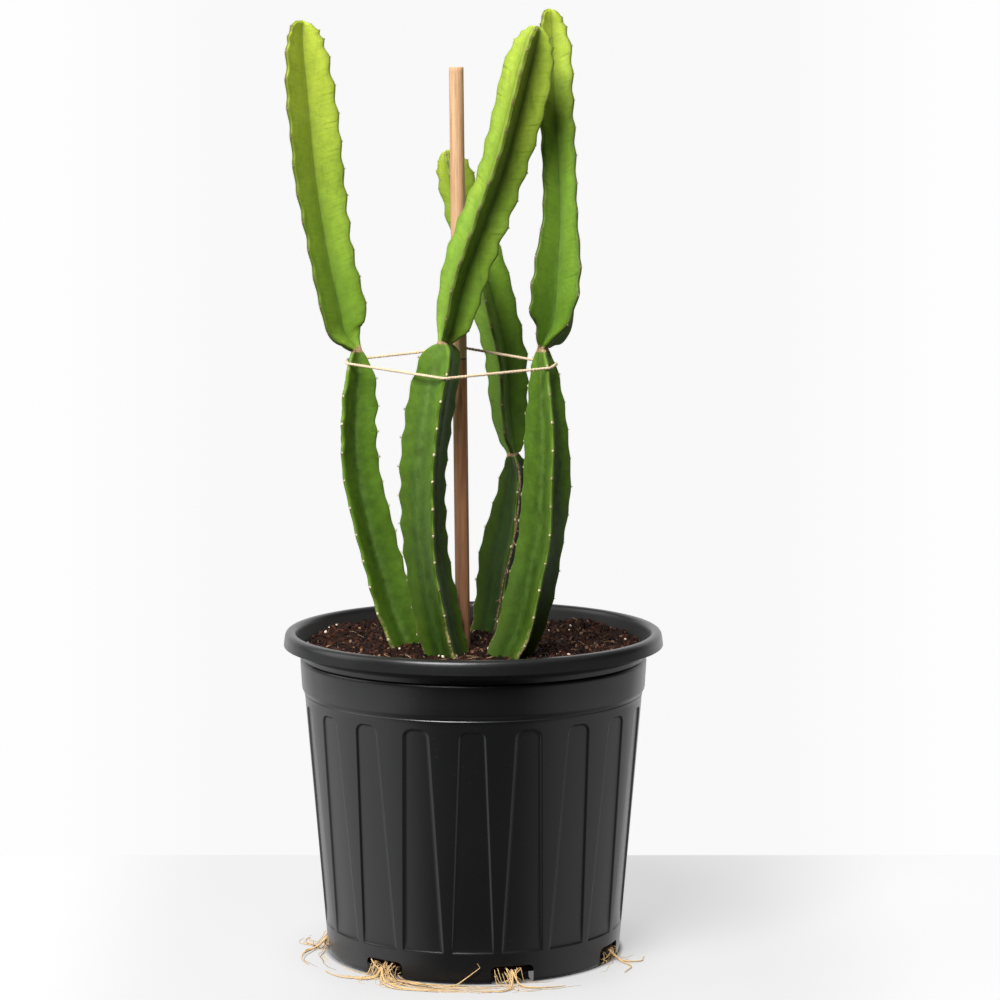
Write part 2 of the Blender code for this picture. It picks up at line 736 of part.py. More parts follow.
def make_root_spray(name, hole, sweeps, collection, material, seed):
    rng = random.Random(seed)
    angle = drain_angle(hole)
    shape = bmesh.new()
    knot_place = around(angle, wall_radius(FLOOR_TOP) - WALL + ROOT_KNOT_RADIUS - CLEARANCE, 0.0080)
    bmesh.ops.create_uvsphere(
        shape, u_segments=8, v_segments=6, radius=ROOT_KNOT_RADIUS, matrix=Matrix.Translation(knot_place)
    )
    knot = add_object(name, mesh_from_bmesh(name, shape), collection)
    pieces = add_collection(name + "_pieces")
    for i, sweep in enumerate(sweeps):
        route = floor_root(angle + rng.uniform(-0.4, 0.4), sweep, rng.uniform(*ROOTS_REACH), rng)
        bake(tube(f"{name}_{i}", route, ROOT_RADIUS, 0, pieces))
    finish(fuse(knot, pieces), material)


def main():
    clear_scene()
    cactus = add_collection("potted_dragon_fruit_cactus")
    cutters = add_collection("cutters", cutters=True)
    pot_plastic = add_material("pot_plastic", POT_COLOUR, 0.45)
    mix_crumb = add_material("potting_mix", MIX_COLOUR, 0.95)
    stem_skin = add_material("stem_skin", STEM_COLOUR, 0.45)
    stake_wood = add_material("stake_wood", STAKE_COLOUR, 0.65)
    jute = add_material("jute", TWINE_COLOUR, 0.85)
    root_skin = add_material("root_skin", ROOT_COLOUR, 0.75)

    make_pot(cactus, cutters, pot_plastic)
    holes = []
    for seed, (name, stem) in enumerate(STEMS.items()):
        holes.append(make_stem(name, stem, cactus, cutters, stem_skin, seed))
    holes.append(make_stake(cactus, cutters, stake_wood))
    holes.append(make_aerial_root(cactus, cutters, root_skin))
    make_mix(cactus, cutters, holes, mix_crumb)
    make_twine(cactus, jute)
    for seed, (name, (hole, sweeps)) in enumerate(ROOT_SPRAYS.items()):
        make_root_spray(name, hole, sweeps, cactus, root_skin, seed)


main()
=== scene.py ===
# A potted dragon fruit cactus: three-ribbed stems tied round a stake, in a fluted nursery pot.
# Metres, +Z up. Angles round the pot and round a stem are in degrees from -Y, the front, towards +X.
import math
import random

import bmesh
import bpy
import numpy as np
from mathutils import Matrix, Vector, geometry, noise


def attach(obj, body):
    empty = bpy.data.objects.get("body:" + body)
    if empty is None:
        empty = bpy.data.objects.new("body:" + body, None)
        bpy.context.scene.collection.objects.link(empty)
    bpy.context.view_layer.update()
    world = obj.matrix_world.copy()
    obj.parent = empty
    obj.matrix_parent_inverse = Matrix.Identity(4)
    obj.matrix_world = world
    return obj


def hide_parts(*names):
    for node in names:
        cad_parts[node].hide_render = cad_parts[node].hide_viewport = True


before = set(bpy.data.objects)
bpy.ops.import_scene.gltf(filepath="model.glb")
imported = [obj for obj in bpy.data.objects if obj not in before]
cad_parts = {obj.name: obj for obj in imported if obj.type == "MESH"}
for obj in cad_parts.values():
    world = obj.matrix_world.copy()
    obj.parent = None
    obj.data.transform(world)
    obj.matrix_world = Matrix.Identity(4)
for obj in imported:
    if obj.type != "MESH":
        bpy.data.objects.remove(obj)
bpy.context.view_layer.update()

noise.seed_set(3)  # or else noise_vector differs from run to run


# A socket of a node. Sums and products of it add Math nodes, or Vector Math nodes where a vector takes part.
class Wire:
    def __init__(self, graph, node, socket):
        self.graph = graph
        self.node = node
        self.socket = socket

    def out(self, name):
        return Wire(self.graph, self.node, self.node.outputs[name])

    def __add__(self, other):
        return maths("ADD", self, other)

    def __radd__(self, other):
        return maths("ADD", other, self)

    def __sub__(self, other):
        return maths("SUBTRACT", self, other)

    def __rsub__(self, other):
        return maths("SUBTRACT", other, self)

    def __mul__(self, other):
        return maths("MULTIPLY", self, other)

    def __rmul__(self, other):
        return maths("MULTIPLY", other, self)

    def __truediv__(self, other):
        return maths("DIVIDE", self, other)


def isVector(value):
    return isinstance(value, Wire) and value.socket.type in ("VECTOR", "RGBA")


def maths(operation, *values):
    graph = next(value.graph for value in values if isinstance(value, Wire))
    if not any(isVector(value) for value in values):
        return graph.add("ShaderNodeMath", {"operation": operation}, dict(enumerate(values)))
    if operation == "MULTIPLY" and not all(isVector(value) for value in values):
        vector, size = values if isVector(values[0]) else reversed(values)
        return graph.add("ShaderNodeVectorMath", {"operation": "SCALE"}, {0: vector, "Scale": size})
    return graph.add("ShaderNodeVectorMath", {"operation": operation}, dict(enumerate(values)))


# A node tree. add() makes any node: its type, its settings, then the values or links of its sockets. A socket
# is given by its name, or by its number where a node has more than one of that name.
class Graph:
    def __init__(self, tree):
        self.tree = tree

    def add(self, kind, settings=None, values=None, output=0):
        node = self.tree.nodes.new(kind)
        for name, value in (settings or {}).items():
            setattr(node, name, value)
        for name, value in (values or {}).items():
            socket = node.inputs[name]
            if isinstance(value, Wire):
                self.tree.links.new(value.socket, socket)
            else:
                socket.default_value = (*value, 1) if socket.type == "RGBA" else value
        return Wire(self, node, node.outputs[output] if node.outputs else None)

    def blend(self, share, first, second):
        return self.add("ShaderNodeMix", {"data_type": "RGBA"}, {0: share, 6: first, 7: second}, 2)

    # A colour with coats over it, each given as its share and its colour
    def layers(self, colour, *coats):
        for share, coat in coats:
            colour = self.blend(share, colour, coat)
        return colour

    def noise(self, place, scale, detail=2.0, rough=0.5, distortion=0.0):
        values = {"Vector": place, "Scale": scale, "Detail": detail, "Roughness": rough}
        return self.add("ShaderNodeTexNoise", {}, {**values, "Distortion": distortion})

    # Noise with its own scale across and up
    def streaks(self, place, across, up, detail=2.0, rough=0.5, distortion=0.0):
        scales = {0: place, 1: (across, across, up)}
        place = self.add("ShaderNodeVectorMath", {"operation": "MULTIPLY"}, scales)
        return self.noise(place, 1.0, detail, rough, distortion)

    # An attribute of the mesh, for a material and for a Geometry Nodes tree
    def mark(self, name):
        return self.add("ShaderNodeAttribute", {"attribute_name": name}).out("Fac")

    def field(self, name, kind="FLOAT"):
        return self.add("GeometryNodeInputNamedAttribute", {"data_type": kind}, {"Name": name})

    def vector(self, name):
        return self.field(name, "FLOAT_VECTOR")

    def store(self, shape, name, value, kind="FLOAT", domain="POINT"):
        values = {"Geometry": shape, "Name": name, "Value": value}
        return self.add("GeometryNodeStoreNamedAttribute", {"data_type": kind, "domain": domain}, values)

    def random(self, low, high, seed):
        return self.add("FunctionNodeRandomValue", {"data_type": "FLOAT"}, {2: low, 3: high, "Seed": seed}, 1)

    # The x, y and z of a vector
    def parts(self, vector):
        split = self.add("ShaderNodeSeparateXYZ", {}, {"Vector": vector})
        return split, split.out("Y"), split.out("Z")

    def xyz(self, x, y, z):
        return self.add("ShaderNodeCombineXYZ", {}, {"X": x, "Y": y, "Z": z})

    def turned(self, x, y, z):
        return self.add("FunctionNodeEulerToRotation", {}, {"Euler": self.xyz(x, y, z)})

    def shift(self, shape, socket, vector):
        return self.add("GeometryNodeSetPosition", {}, {"Geometry": shape, socket: vector})

    # Points strewn over the faces of a mesh
    def strew(self, mesh, density, seed, **sockets):
        values = {"Mesh": mesh, "Density": density, "Seed": seed, **sockets}
        return self.add("GeometryNodeDistributePointsOnFaces", {}, values)

    def realize(self, shape):
        return self.add("GeometryNodeRealizeInstances", {}, {"Geometry": shape})

    def circle(self, sides, radius):
        return self.add("GeometryNodeCurvePrimitiveCircle", {}, {"Resolution": sides, "Radius": radius})

    def repeat(self, curve, count):
        values = {"Geometry": curve, "Amount": count}
        return self.add("GeometryNodeDuplicateElements", {"domain": "SPLINE"}, values)

    # The line of a mesh as a curve, and a skin over a curve
    def curve(self, shape):
        return self.add("GeometryNodeMeshToCurve", {}, {"Mesh": shape})

    def skin(self, curve, profile, **sockets):
        return self.add("GeometryNodeCurveToMesh", {}, {"Curve": curve, "Profile Curve": profile, **sockets})

    def merge(self, shape):
        return self.add("GeometryNodeMergeByDistance", {}, {"Geometry": shape, "Distance": 2e-5})

    # One of so many kinds out of a collection on each point
    def copies(self, points, stock, kinds, seed, turn, size):
        stock = {"Collection": stock, "Separate Children": True, "Reset Children": True}
        draw = {4: 0, 5: kinds - 1, "Seed": seed}
        values = {
            "Points": points,
            "Instance": self.add("GeometryNodeCollectionInfo", {}, stock),
            "Pick Instance": True,
            "Instance Index": self.add("FunctionNodeRandomValue", {"data_type": "INT"}, draw, 2),
            "Rotation": turn,
            "Scale": size,
        }
        return self.add("GeometryNodeInstanceOnPoints", {}, values)


# A smooth step from 0 to 1 as value goes from low to high, also where low is the larger
def ease(value, low, high):
    values = {"Value": value, "From Min": low, "From Max": high}
    return value.graph.add("ShaderNodeMapRange", {"interpolation_type": "SMOOTHSTEP"}, values)


def newMaterial(name):
    material = bpy.data.materials.new(name)
    material.use_nodes = True
    material.node_tree.nodes.clear()
    graph = Graph(material.node_tree)
    place = graph.add("ShaderNodeTexCoord").out("Object")
    return material, graph, place


# Relief is a height, how far it reaches in metres, and its strength
def finishMaterial(graph, colour, rough, relief=None, **sockets):
    values = {"Base Color": colour, "Roughness": rough}
    for name, value in sockets.items():
        values[name.replace("_", " ")] = value
    if relief:
        height, distance, strength = relief
        values["Normal"] = graph.add(
            "ShaderNodeBump", {}, {"Height": height, "Distance": distance, "Strength": strength}
        )
    shader = graph.add("ShaderNodeBsdfPrincipled", {}, values)
    graph.add("ShaderNodeOutputMaterial", {}, {"Surface": shader})


socketKinds = {
    float: "NodeSocketFloat",
    int: "NodeSocketInt",
    bpy.types.Material: "NodeSocketMaterial",
    bpy.types.Collection: "NodeSocketCollection",
}


# A Geometry Nodes tree with named inputs, each with the value it starts from. The inputs come back as wires.
def newTree(name, **inputs):
    tree = bpy.data.node_groups.new(name, "GeometryNodeTree")
    for way in ("INPUT", "OUTPUT"):
        tree.interface.new_socket("Geometry", in_out=way, socket_type="NodeSocketGeometry")
    for label, value in inputs.items():
        socket = tree.interface.new_socket(label, in_out="INPUT", socket_type=socketKinds[type(value)])
        socket.default_value = value
    graph = Graph(tree)
    given = graph.add("NodeGroupInput")
    return graph, *[given.out(label) for label in ("Geometry", *inputs)]


def finishTree(graph, shape, material):
    coloured = {"Geometry": graph.realize(shape), "Material": material}
    coloured = graph.add("GeometryNodeSetMaterial", {}, coloured)
    graph.add("NodeGroupOutput", {}, {"Geometry": coloured})
    return graph.tree


# The plain mesh that a tree makes of a mesh, as a new object
def grow(name, mesh, tree, **sizes):
    obj = addObject(name, mesh)
    modifier = obj.modifiers.new(tree.name, "NODES")
    modifier.node_group = tree
    for item in tree.interface.items_tree:
        if item.in_out == "INPUT" and item.name in sizes:
            modifier[item.identifier] = sizes[item.name]
    return plain(obj)


def plain(obj):
    bpy.context.view_layer.update()
    depsgraph = bpy.context.evaluated_depsgraph_get()
    shown = obj.evaluated_get(depsgraph)
    mesh = bpy.data.meshes.new_from_object(shown, preserve_all_data_layers=True, depsgraph=depsgraph)
    obj.modifiers.clear()
    obj.data = mesh
    return obj


def addObject(name, mesh):
    obj = bpy.data.objects.new(name, mesh)
    bpy.context.scene.collection.objects.link(obj)
    return obj


def meshFrom(name, points, edges, faces):
    mesh = bpy.data.meshes.new(name)
    mesh.from_pydata([tuple(point) for point in points], edges, faces)
    mesh.update()
    return mesh


def meshFromShape(name, shape):
    mesh = bpy.data.meshes.new(name)
    shape.to_mesh(mesh)
    shape.free()
    return mesh


# A mesh of lines through the given points, with values on the points for a tree to read
def lineMesh(name, lines, closed=False, **fields):
    points = np.concatenate([np.asarray(line, float)[:, :3] for line in lines])
    edges = []
    start = 0
    for line in lines:
        count = len(line)
        edges += [(start + i, start + (i + 1) % count) for i in range(count if closed else count - 1)]
        start += count
    mesh = meshFrom(name, points, edges, [])
    setFields(mesh, **fields)
    return mesh


def setFields(mesh, **fields):
    for name, values in fields.items():
        values = np.asarray(values, np.float32)
        vector = values.ndim == 2
        attribute = mesh.attributes.new(name, "FLOAT_VECTOR" if vector else "FLOAT", "POINT")
        attribute.data.foreach_set("vector" if vector else "value", values.ravel())


# Numbers of a mesh as rows: the places of its vertices, or the vertices of its edges or triangles
def readRows(items, name, width, kind):
    values = np.empty(len(items) * width, kind)
    items.foreach_get(name, values)
    return values.reshape(-1, width)


# Turns the faces of a closed mesh outwards, and smooths it
def finishSkin(mesh):
    mesh.calc_loop_triangles()
    places = readRows(mesh.vertices, "co", 3, np.float32)
    triangles = places[readRows(mesh.loop_triangles, "vertices", 3, np.int32)]
    if np.linalg.det(triangles.astype(float)).sum() < 0:
        mesh.flip_normals()
    mesh.shade_smooth()


def around(angle, radius, height):
    turned = math.radians(angle)
    return Vector((radius * math.sin(turned), -radius * math.cos(turned), height))


# Rows of numbers, the first three of them a point, read off a smooth curve through the given rows
def smoothRoute(rows, spacing):
    given = np.array(rows, float)
    given = np.concatenate([2 * given[:1] - given[1:2], given, 2 * given[-1:] - given[-2:-1]])
    dense = []
    for a, b, c, d in zip(given, given[1:], given[2:], given[3:]):
        for t in np.arange(0, 1, 1 / 12):
            bent = t**2 * (a - 2.5 * b + 2 * c - d / 2) + t**3 * (1.5 * (b - c) + (d - a) / 2)
            dense.append(b + t * (c - a) / 2 + bent)
    dense = np.array(dense + [given[-2]])
    along = lengthAlong(dense)
    return resample(dense, along, np.linspace(0, along[-1], max(2, round(along[-1] / spacing)) + 1))


def resample(rows, along, places):
    return np.stack([np.interp(places, along, column) for column in rows.T], axis=1)


# Rows that are given in millimetres
def metres(rows):
    return [tuple(value / 1000 for value in row) for row in rows]


# The value at a share of the way between two ends
def between(ends, share):
    return ends[0] + (ends[1] - ends[0]) * share


def lengthAlong(points):
    return np.concatenate([[0], np.cumsum(np.linalg.norm(np.diff(points[:, :3], axis=0), axis=1))])


# Puts a finished piece on the root body and hides the solids it stands for
def keep(obj, slot, *nodes):
    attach(obj, "root")
    if nodes:
        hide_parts(*nodes)
    print(f"{obj.name}: {len(obj.data.polygons)} faces")


# Camera, floor and light

view = {
    "camera": (0.0196, -2.4861, 0.6462),
    "pitch": 7.107,  # degrees down
    "lens": 122.663,  # mm, on a 36 mm sensor
    "exposure": -0.9,
    "floorBack": 0.30,  # where the floor ends behind the pot
    "floorFront": -0.45,
    "floorSide": 0.9,
    "floorColour": (0.18, 0.18, 0.18),
    # How bright the floor is near the pot and to the sides, and between which x it changes
    "floorGlow": (1.00, 1.20),
    "floorSides": (0.20, 0.36),
    # Between which distances from the pot's axis the floor turns light, and the share of its light for each
    "floorShadows": ((0.1075, 0.1130, 0.9), (0.110, 0.160, 0.1)),
    # Bright sides of the room: where each one starts and is full, along x, y or z of the way out from the
    # middle, and its strength
    "skyBack": (0.50, 0.85, 2.0),
    "skyTop": (0.35, 0.85, 0.75),
    "skyBelow": (-0.75, -0.95, 0.5),
    # The low sides have a fourth number: how much more of them shows in the pot
    "skyLeft": (-0.45, -0.85, 0.6, 1.7),
    "skyRight": (0.45, 0.95, 0.40, 1.15),
    "skyLow": (0.05, -0.20),
    "skyFront": 0.06,
    "backdrop": 0.945,
    "backdropSides": (0.07, 0.14, 0.045),  # it is whiter to the sides of the picture
    "target": (0, 0, 0.33),  # what the lights face
    # Soft lights: where each stands, its size and its power
    "lights": {
        "left_light": ((-3.60, 0.15, 2.05), 2.6, 105),
        "front_light": ((-1.16, -2.50, 3.27), 1.9, 600),
    },
}


def addArea(name, place, size, power):
    light = bpy.data.lights.new(name, "AREA")
    light.shape = "SQUARE"
    light.size = size
    light.energy = power
    obj = addObject(name, light)
    obj.location = place
    obj.rotation_euler = (Vector(view["target"]) - Vector(place)).to_track_quat("-Z", "Y").to_euler()


def makeCamera():
    lens = bpy.data.cameras.new("camera")
    lens.lens = view["lens"]
    lens.sensor_width = 36
    lens.clip_end = 50
    camera = addObject("camera", lens)
    camera.location = view["camera"]
    camera.rotation_euler = (math.radians(90 - view["pitch"]), 0, 0)
    bpy.context.scene.camera = camera
    bpy.context.scene.view_settings.view_transform = "Standard"
    bpy.context.scene.view_settings.exposure = view["exposure"]


def makeFloor():
    side, front, back = view["floorSide"], view["floorFront"], view["floorBack"]
    corners = [(-side, front, 0), (side, front, 0), (side, back, 0), (-side, back, 0)]
    mesh = meshFrom("floor", corners, [], [(0, 1, 2, 3)])
    paper, graph, place = newMaterial("floor_paper")
    x, y, _ = graph.parts(place)
    radius = maths("SQRT", x * x + y * y)
    near, far = [(strength, strength, strength) for strength in view["floorGlow"]]
    glow = graph.blend(ease(maths("ABSOLUTE", x), *view["floorSides"]), near, far)
    hard, soft = [ease(radius, start, full) * share for start, full, share in view["floorShadows"]]
    emission = {"Emission_Color": glow * (hard + soft), "Emission_Strength": 1.0}
    finishMaterial(graph, view["floorColour"], 0.6, Specular_IOR_Level=0.2, **emission)
    mesh.materials.append(paper)
    floor = addObject("floor", mesh)
    floor.visible_glossy = False  # the pot mirrors the dark front of the room instead
    floor.visible_diffuse = False  # and the plant takes its light from the room below


# The room is bright above and behind the pot, and dark towards the camera.
def makeRoom():
    world = bpy.data.worlds.new("studio")
    bpy.context.scene.world = world
    world.use_nodes = True
    world.node_tree.nodes.clear()
    graph = Graph(world.node_tree)
    x, y, z = graph.parts(graph.add("ShaderNodeTexCoord").out("Generated"))
    low = ease(z, *view["skyLow"])
    mirrored = graph.add("ShaderNodeLightPath").out("Is Glossy Ray")
    glow = None
    for way, name in ((y, "skyBack"), (x, "skyLeft"), (x, "skyRight"), (z, "skyTop"), (z, "skyBelow")):
        start, full, strength, *inPot = view[name]
        side = ease(way, start, full)
        side = side * low * (strength + mirrored * inPot[0]) if inPot else side * strength
        glow = maths("MAXIMUM", glow, side) if glow else side
    seen = graph.add("ShaderNodeLightPath").out("Is Camera Ray")
    start, full, more = view["backdropSides"]
    whiter = ease(maths("ABSOLUTE", x), start, full) * more
    shown = (whiter + view["backdrop"]) / 2 ** view["exposure"]
    strength = seen * shown + (1 - seen) * (glow + view["skyFront"])
    light = graph.add("ShaderNodeBackground", {}, {"Color": (1.0, 1.0, 1.0), "Strength": strength})
    graph.add("ShaderNodeOutputWorld", {}, {"Surface": light})


makeCamera()
makeFloor()
makeRoom()
for name, (place, size, power) in view["lights"].items():
    addArea(name, place, size, power)
print("camera, floor and light are in place")


# Pot: one wedge with one flute, repeated round the axis, with arched drain holes cut through its foot

pot = {
    "footHeight": 0.003,
    "bodyTop": 0.1932,
    "wallRadii": (0.1086, 0.1246),  # at those two heights
    "flutes": 19,
    "fluteDepth": 0.0013,
    "fluteEdge": 0.0017,  # how wide the slope at a flute's edge is
    "fluteLow": 0.0224,
    "fluteHigh": 0.1877,
    "fluteHalves": (0.0158, 0.0097),  # half its width, at its foot and at its top
    "fluteCorner": 0.0065,
    "runOut": 0.012,  # how far up from its foot a flute goes on deepening
    "footShare": 0.45,  # and its depth at the foot, as a share of the whole
    "drainHoles": 7,
    "firstDrainHole": -36.2,
    "drainWidth": 0.032,
    "drainHeight": 0.013,
    "drainCorner": 0.004,
    "drainDepths": (0.090, 0.118),  # from and to which distance from the axis a hole is cut
    "drainTurn": 15,  # degrees from one point of its corner to the next
    # Splashed mix on the inside: a height, the radius there and its slope, and where the splashes end
    "inside": (0.2206, 0.1256, 0.42),
    "splashes": (0.2385, 0.2350),
    "colour": (0.0068, 0.0069, 0.0074),
}


def wallRadius(height):
    rise = (height - pot["footHeight"]) / (pot["bodyTop"] - pot["footHeight"])
    return between(pot["wallRadii"], rise)


# Half the width of a flute at a height
def fluteHalf(height):
    rise = (height - pot["fluteLow"]) / (pot["fluteHigh"] - pot["fluteLow"])
    return between(pot["fluteHalves"], min(1, max(0, rise)))


# How far inside a flute's outline a point of the wall is
def insideFlute(across, height):
    corner = pot["fluteCorner"]
    side = fluteHalf(height) - across
    top = pot["fluteHigh"] - height
    inside = min(side, top, height - pot["fluteLow"])
    if side < corner and top < corner:
        inside = min(inside, corner - math.hypot(corner - side, corner - top))
    return inside


def fluteDepth(across, height):
    share = min(1, max(0, insideFlute(across, height) / pot["fluteEdge"]))
    runOut = min(1, max(0, (height - pot["fluteLow"]) / pot["runOut"]))
    return pot["fluteDepth"] * share * share * (3 - 2 * share) * between((pot["footShare"], 1), runOut)


# Radius and height, in mm, from the middle of the floor up the inside, over the rim and down the collar
potUpper = [
    (0, 7), (60, 7), (106.5, 7), (108.2, 30), (115.5, 120), (122.2, 193.2), (123.0, 197.0), (123.9, 199.2),
    (124.6, 215), (124.7, 220.6), (125.2, 224.5), (126.0, 227.6), (127.2, 230.4), (129.3, 234.2),
    (130.3, 236.2), (130.8, 237.2), (131.3, 238.4), (132.0, 239.3), (133.1, 239.8), (134.5, 240.0),
    (135.9, 239.9), (137.0, 239.6), (138.1, 238.8), (138.9, 237.5), (139.3, 235.2), (139.7, 232.2),
    (140.0, 229.9), (139.8, 229.6), (138.6, 229.6), (138.4, 229.9), (138.0, 232.6), (137.2, 236.2),
    (136.6, 236.6), (133.0, 236.4), (132.2, 235.8), (130.2, 232.4), (128.4, 229.4), (127.4, 226.4),
    (126.6, 222.4), (126.4, 221.0), (126.6, 220.7), (127.0, 220.4), (127.4, 219.9), (127.7, 219.2),
    (127.85, 218.3), (127.8, 217.0), (127.2, 207.0), (126.7, 199.0), (126.5, 198.2), (125.9, 196.9),
    (124.7, 195.0), (124.6, 194.4), (124.9, 193.9), (124.8, 193.5),
]
potLower = [
    (108.55, 2.6), (108.2, 1.4), (107.4, 0.5), (105.6, 0), (97, 0), (96, 0.6), (95.2, 4.6), (94.4, 5),
    (60, 5), (0, 5),
]


# The rows of the wall lie close together where the flutes start and end.
def potRows():
    rows = metres(potUpper)
    high, low, corner = pot["fluteHigh"], pot["fluteLow"], pot["fluteCorner"]
    heights = [pot["bodyTop"], high + 0.003, high + 0.0006]
    heights += [high - pot["fluteEdge"] * share for share in (0, 0.25, 0.5, 0.75, 1)]
    heights += list(np.linspace(high - 0.0024, high - corner, 7))
    heights += list(np.linspace(high - corner, low + 0.0045, 24))[1:]
    heights += [low + pot["fluteEdge"] * share for share in (1, 0.75, 0.5, 0.25, 0)]
    heights += [low - 0.0008, 0.0150, 0.0085, pot["footHeight"] + 0.0008]
    rows += [(wallRadius(height), height) for height in heights]
    return rows + metres(potLower)


def potWedge():
    half = math.pi / pot["flutes"]
    edge, corner = pot["fluteEdge"], pot["fluteCorner"]
    points = []
    rows = potRows()
    for row, (radius, height) in enumerate(rows):
        onWall = len(potUpper) <= row < len(rows) - len(potLower)
        flute = fluteHalf(height)
        if height > pot["fluteHigh"] - corner:
            rise = min(1, (height - pot["fluteHigh"] + corner) / corner)
            flute -= corner * (1 - math.sqrt(max(0, 1 - rise * rise)))
        turn = 1 / wallRadius(min(height, pot["bodyTop"]))  # angle for each metre round the wall
        inner = (flute - edge) * turn
        outer = (flute + 0.0005) * turn
        columns = [inner * share for share in (0, 0.22, 0.44, 0.66, 0.85, 1)]
        columns += [(flute - edge * share) * turn for share in (0.75, 0.5, 0.25, 0)]
        columns += [between((outer, half), share) for share in (0, 0.33, 0.67, 1)]
        for angle in [-column for column in columns[:0:-1]] + columns:
            depth = fluteDepth(abs(angle) / turn, height) if onWall else 0
            points.append(around(math.degrees(angle), radius - depth, height))
    count = len(points) // len(rows)
    starts = range(0, len(points) - count, count)
    corners = [i for start in starts for i in range(start, start + count - 1)]
    return meshFrom("pot_wedge", points, [], [(i, i + 1, i + count + 1, i + count) for i in corners])


def repeatTree():
    graph, shape, count, first, material = newTree("repeat_round", Count=1, First=0.0, Material=potPlastic)
    spots = graph.add("GeometryNodePoints", {}, {"Count": count})
    turn = graph.add("GeometryNodeInputIndex") * (2 * math.pi) / count + first
    values = {"Points": spots, "Instance": shape, "Rotation": graph.turned(0.0, 0.0, turn)}
    copies = graph.add("GeometryNodeInstanceOnPoints", {}, values)
    return finishTree(graph, graph.merge(graph.realize(copies)), material)


def drainPrism():
    half, height, corner = pot["drainWidth"] / 2, pot["drainHeight"], pot["drainCorner"]
    outline = [(-half, -0.002), (half, -0.002)]
    for side in (1, -1):
        for step in range(7):
            turn = math.radians(pot["drainTurn"] * (step if side == 1 else 6 - step))
            across = side * (half - corner * (1 - math.cos(turn)))
            outline.append((across, height - corner * (1 - math.sin(turn))))
    count = len(outline)
    points = [(across, -depth, up) for depth in pot["drainDepths"] for across, up in outline]
    faces = [tuple(range(count)), tuple(reversed(range(count, 2 * count)))]
    faces += [(i, i + count, (i + 1) % count + count, (i + 1) % count) for i in range(count)]
    mesh = meshFrom("drain_prism", points, [], faces)
    finishSkin(mesh)
    return mesh


def makePlastic():
    material, graph, place = newMaterial("pot_plastic")
    cloudy = graph.noise(place, 14.0, 3.0)
    grain = graph.noise(place, 2600.0, 1.0)
    drag = graph.streaks(place, 260.0, 7.0)  # faint upright marks from the mould
    dust = ease(graph.noise(place, 520.0, 2.0, 0.6), 0.66, 0.82)
    # The inside over the mix is dull with splashed mix.
    x, y, z = graph.parts(place)
    height, inside, slope = pot["inside"]
    within = (z - height) * slope + inside - maths("SQRT", x * x + y * y)
    splashed = ease(within, 0.0, 0.0004) * ease(z, *pot["splashes"])
    colour = graph.layers(
        pot["colour"],
        (cloudy, tuple(1.35 * part for part in pot["colour"])),
        (dust * 0.22, (0.10, 0.09, 0.08)),
        (splashed * 0.7, (0.0045, 0.0032, 0.0026)),
    )
    rough = 0.27 + cloudy * 0.06 + drag * 0.05 + dust * 0.1 + splashed * 0.4
    finishMaterial(graph, colour, rough, (grain * 0.5 + drag * 0.3, 0.00010, 0.6), Specular_IOR_Level=0.42)
    return material


potPlastic = makePlastic()


def makePot():
    tree = repeatTree()
    shell = grow("pot_shell", potWedge(), tree, Count=pot["flutes"])
    finishSkin(shell.data)
    first = math.radians(pot["firstDrainHole"])
    cutter = grow("drain_cutter", drainPrism(), tree, Count=pot["drainHoles"], First=first)
    cut = shell.modifiers.new("Drain holes", "BOOLEAN")
    cut.object = cutter
    cut.solver = "EXACT"
    plain(shell)
    bpy.data.objects.remove(cutter)
    shell.data.shade_smooth()
    shell.data.set_sharp_from_angle(angle=math.radians(38))
    keep(shell, "pot_plastic", "pot")


makePot()


# Potting mix: a plug with a lumpy top, crumbs of bark, pale grains and fibres

mix = {
    "level": 0.2275,
    "radius": 0.1252,
    "rings": 84,
    "sectors": 230,
    # Under its open top: radius and height of the rings down the wall, the last one at the bottom
    "under": ((0.1246, 0.2205), (0.1236, 0.1995), (0.1219, 0.1925), (0.1062, 0.0073)),
    "lumps": 0.0026,
    "grit": 0.0007,
    "bumps": ((0, 38), (3, 110), (7, 320)),  # noise of the lumps, smaller lumps and grit: level and scale
    "crumbs": 105000,  # for each square metre
    "crumbSize": (0.0005, 0.0022),
    "crumbJag": 0.28,  # how far its corners stray, as a share
    # How far each kind is squashed in x, y and z
    "squashes": (
        (1, 0.75, 0.6), (1.2, 0.7, 0.45), (0.9, 0.85, 0.7), (1.3, 0.6, 0.5), (1, 1, 0.5), (1.1, 0.8, 0.8),
    ),
    "perlite": 1700,
    "perliteSize": (0.0005, 0.0015),
    "perliteJag": 0.16,
    "perliteSquash": (1, 0.9, 0.85),
    "fibres": 4200,
    "fibreSize": (0.5, 1.3),  # times the one below
    "fibreLength": 0.008,
    "fibreBend": (0.0012, 0.0009),
    "fibreRadius": 0.00019,
    # Heaps: x, y, how wide and how high
    "heaps": (
        (-0.098, 0.055, 0.017, 0.0060),
        (-0.080, 0.100, 0.022, 0.0040),
        (0.077, 0.078, 0.020, 0.0060),
        (0.098, 0.050, 0.018, 0.0040),
        (0.030, -0.010, 0.030, 0.0030),
        (-0.020, 0.030, 0.040, 0.0030),
    ),
}


def mixHeight(x, y):
    lift = 0
    for heapX, heapY, wide, high in mix["heaps"]:
        lift += high * math.exp(-((x - heapX) ** 2 + (y - heapY) ** 2) / (wide * wide))
    broad, small, fine = [noise.noise(Vector((x, y, level)) * scale) for level, scale in mix["bumps"]]
    return mix["level"] + lift + mix["lumps"] * (broad + 0.6 * small) * 0.6 + mix["grit"] * fine


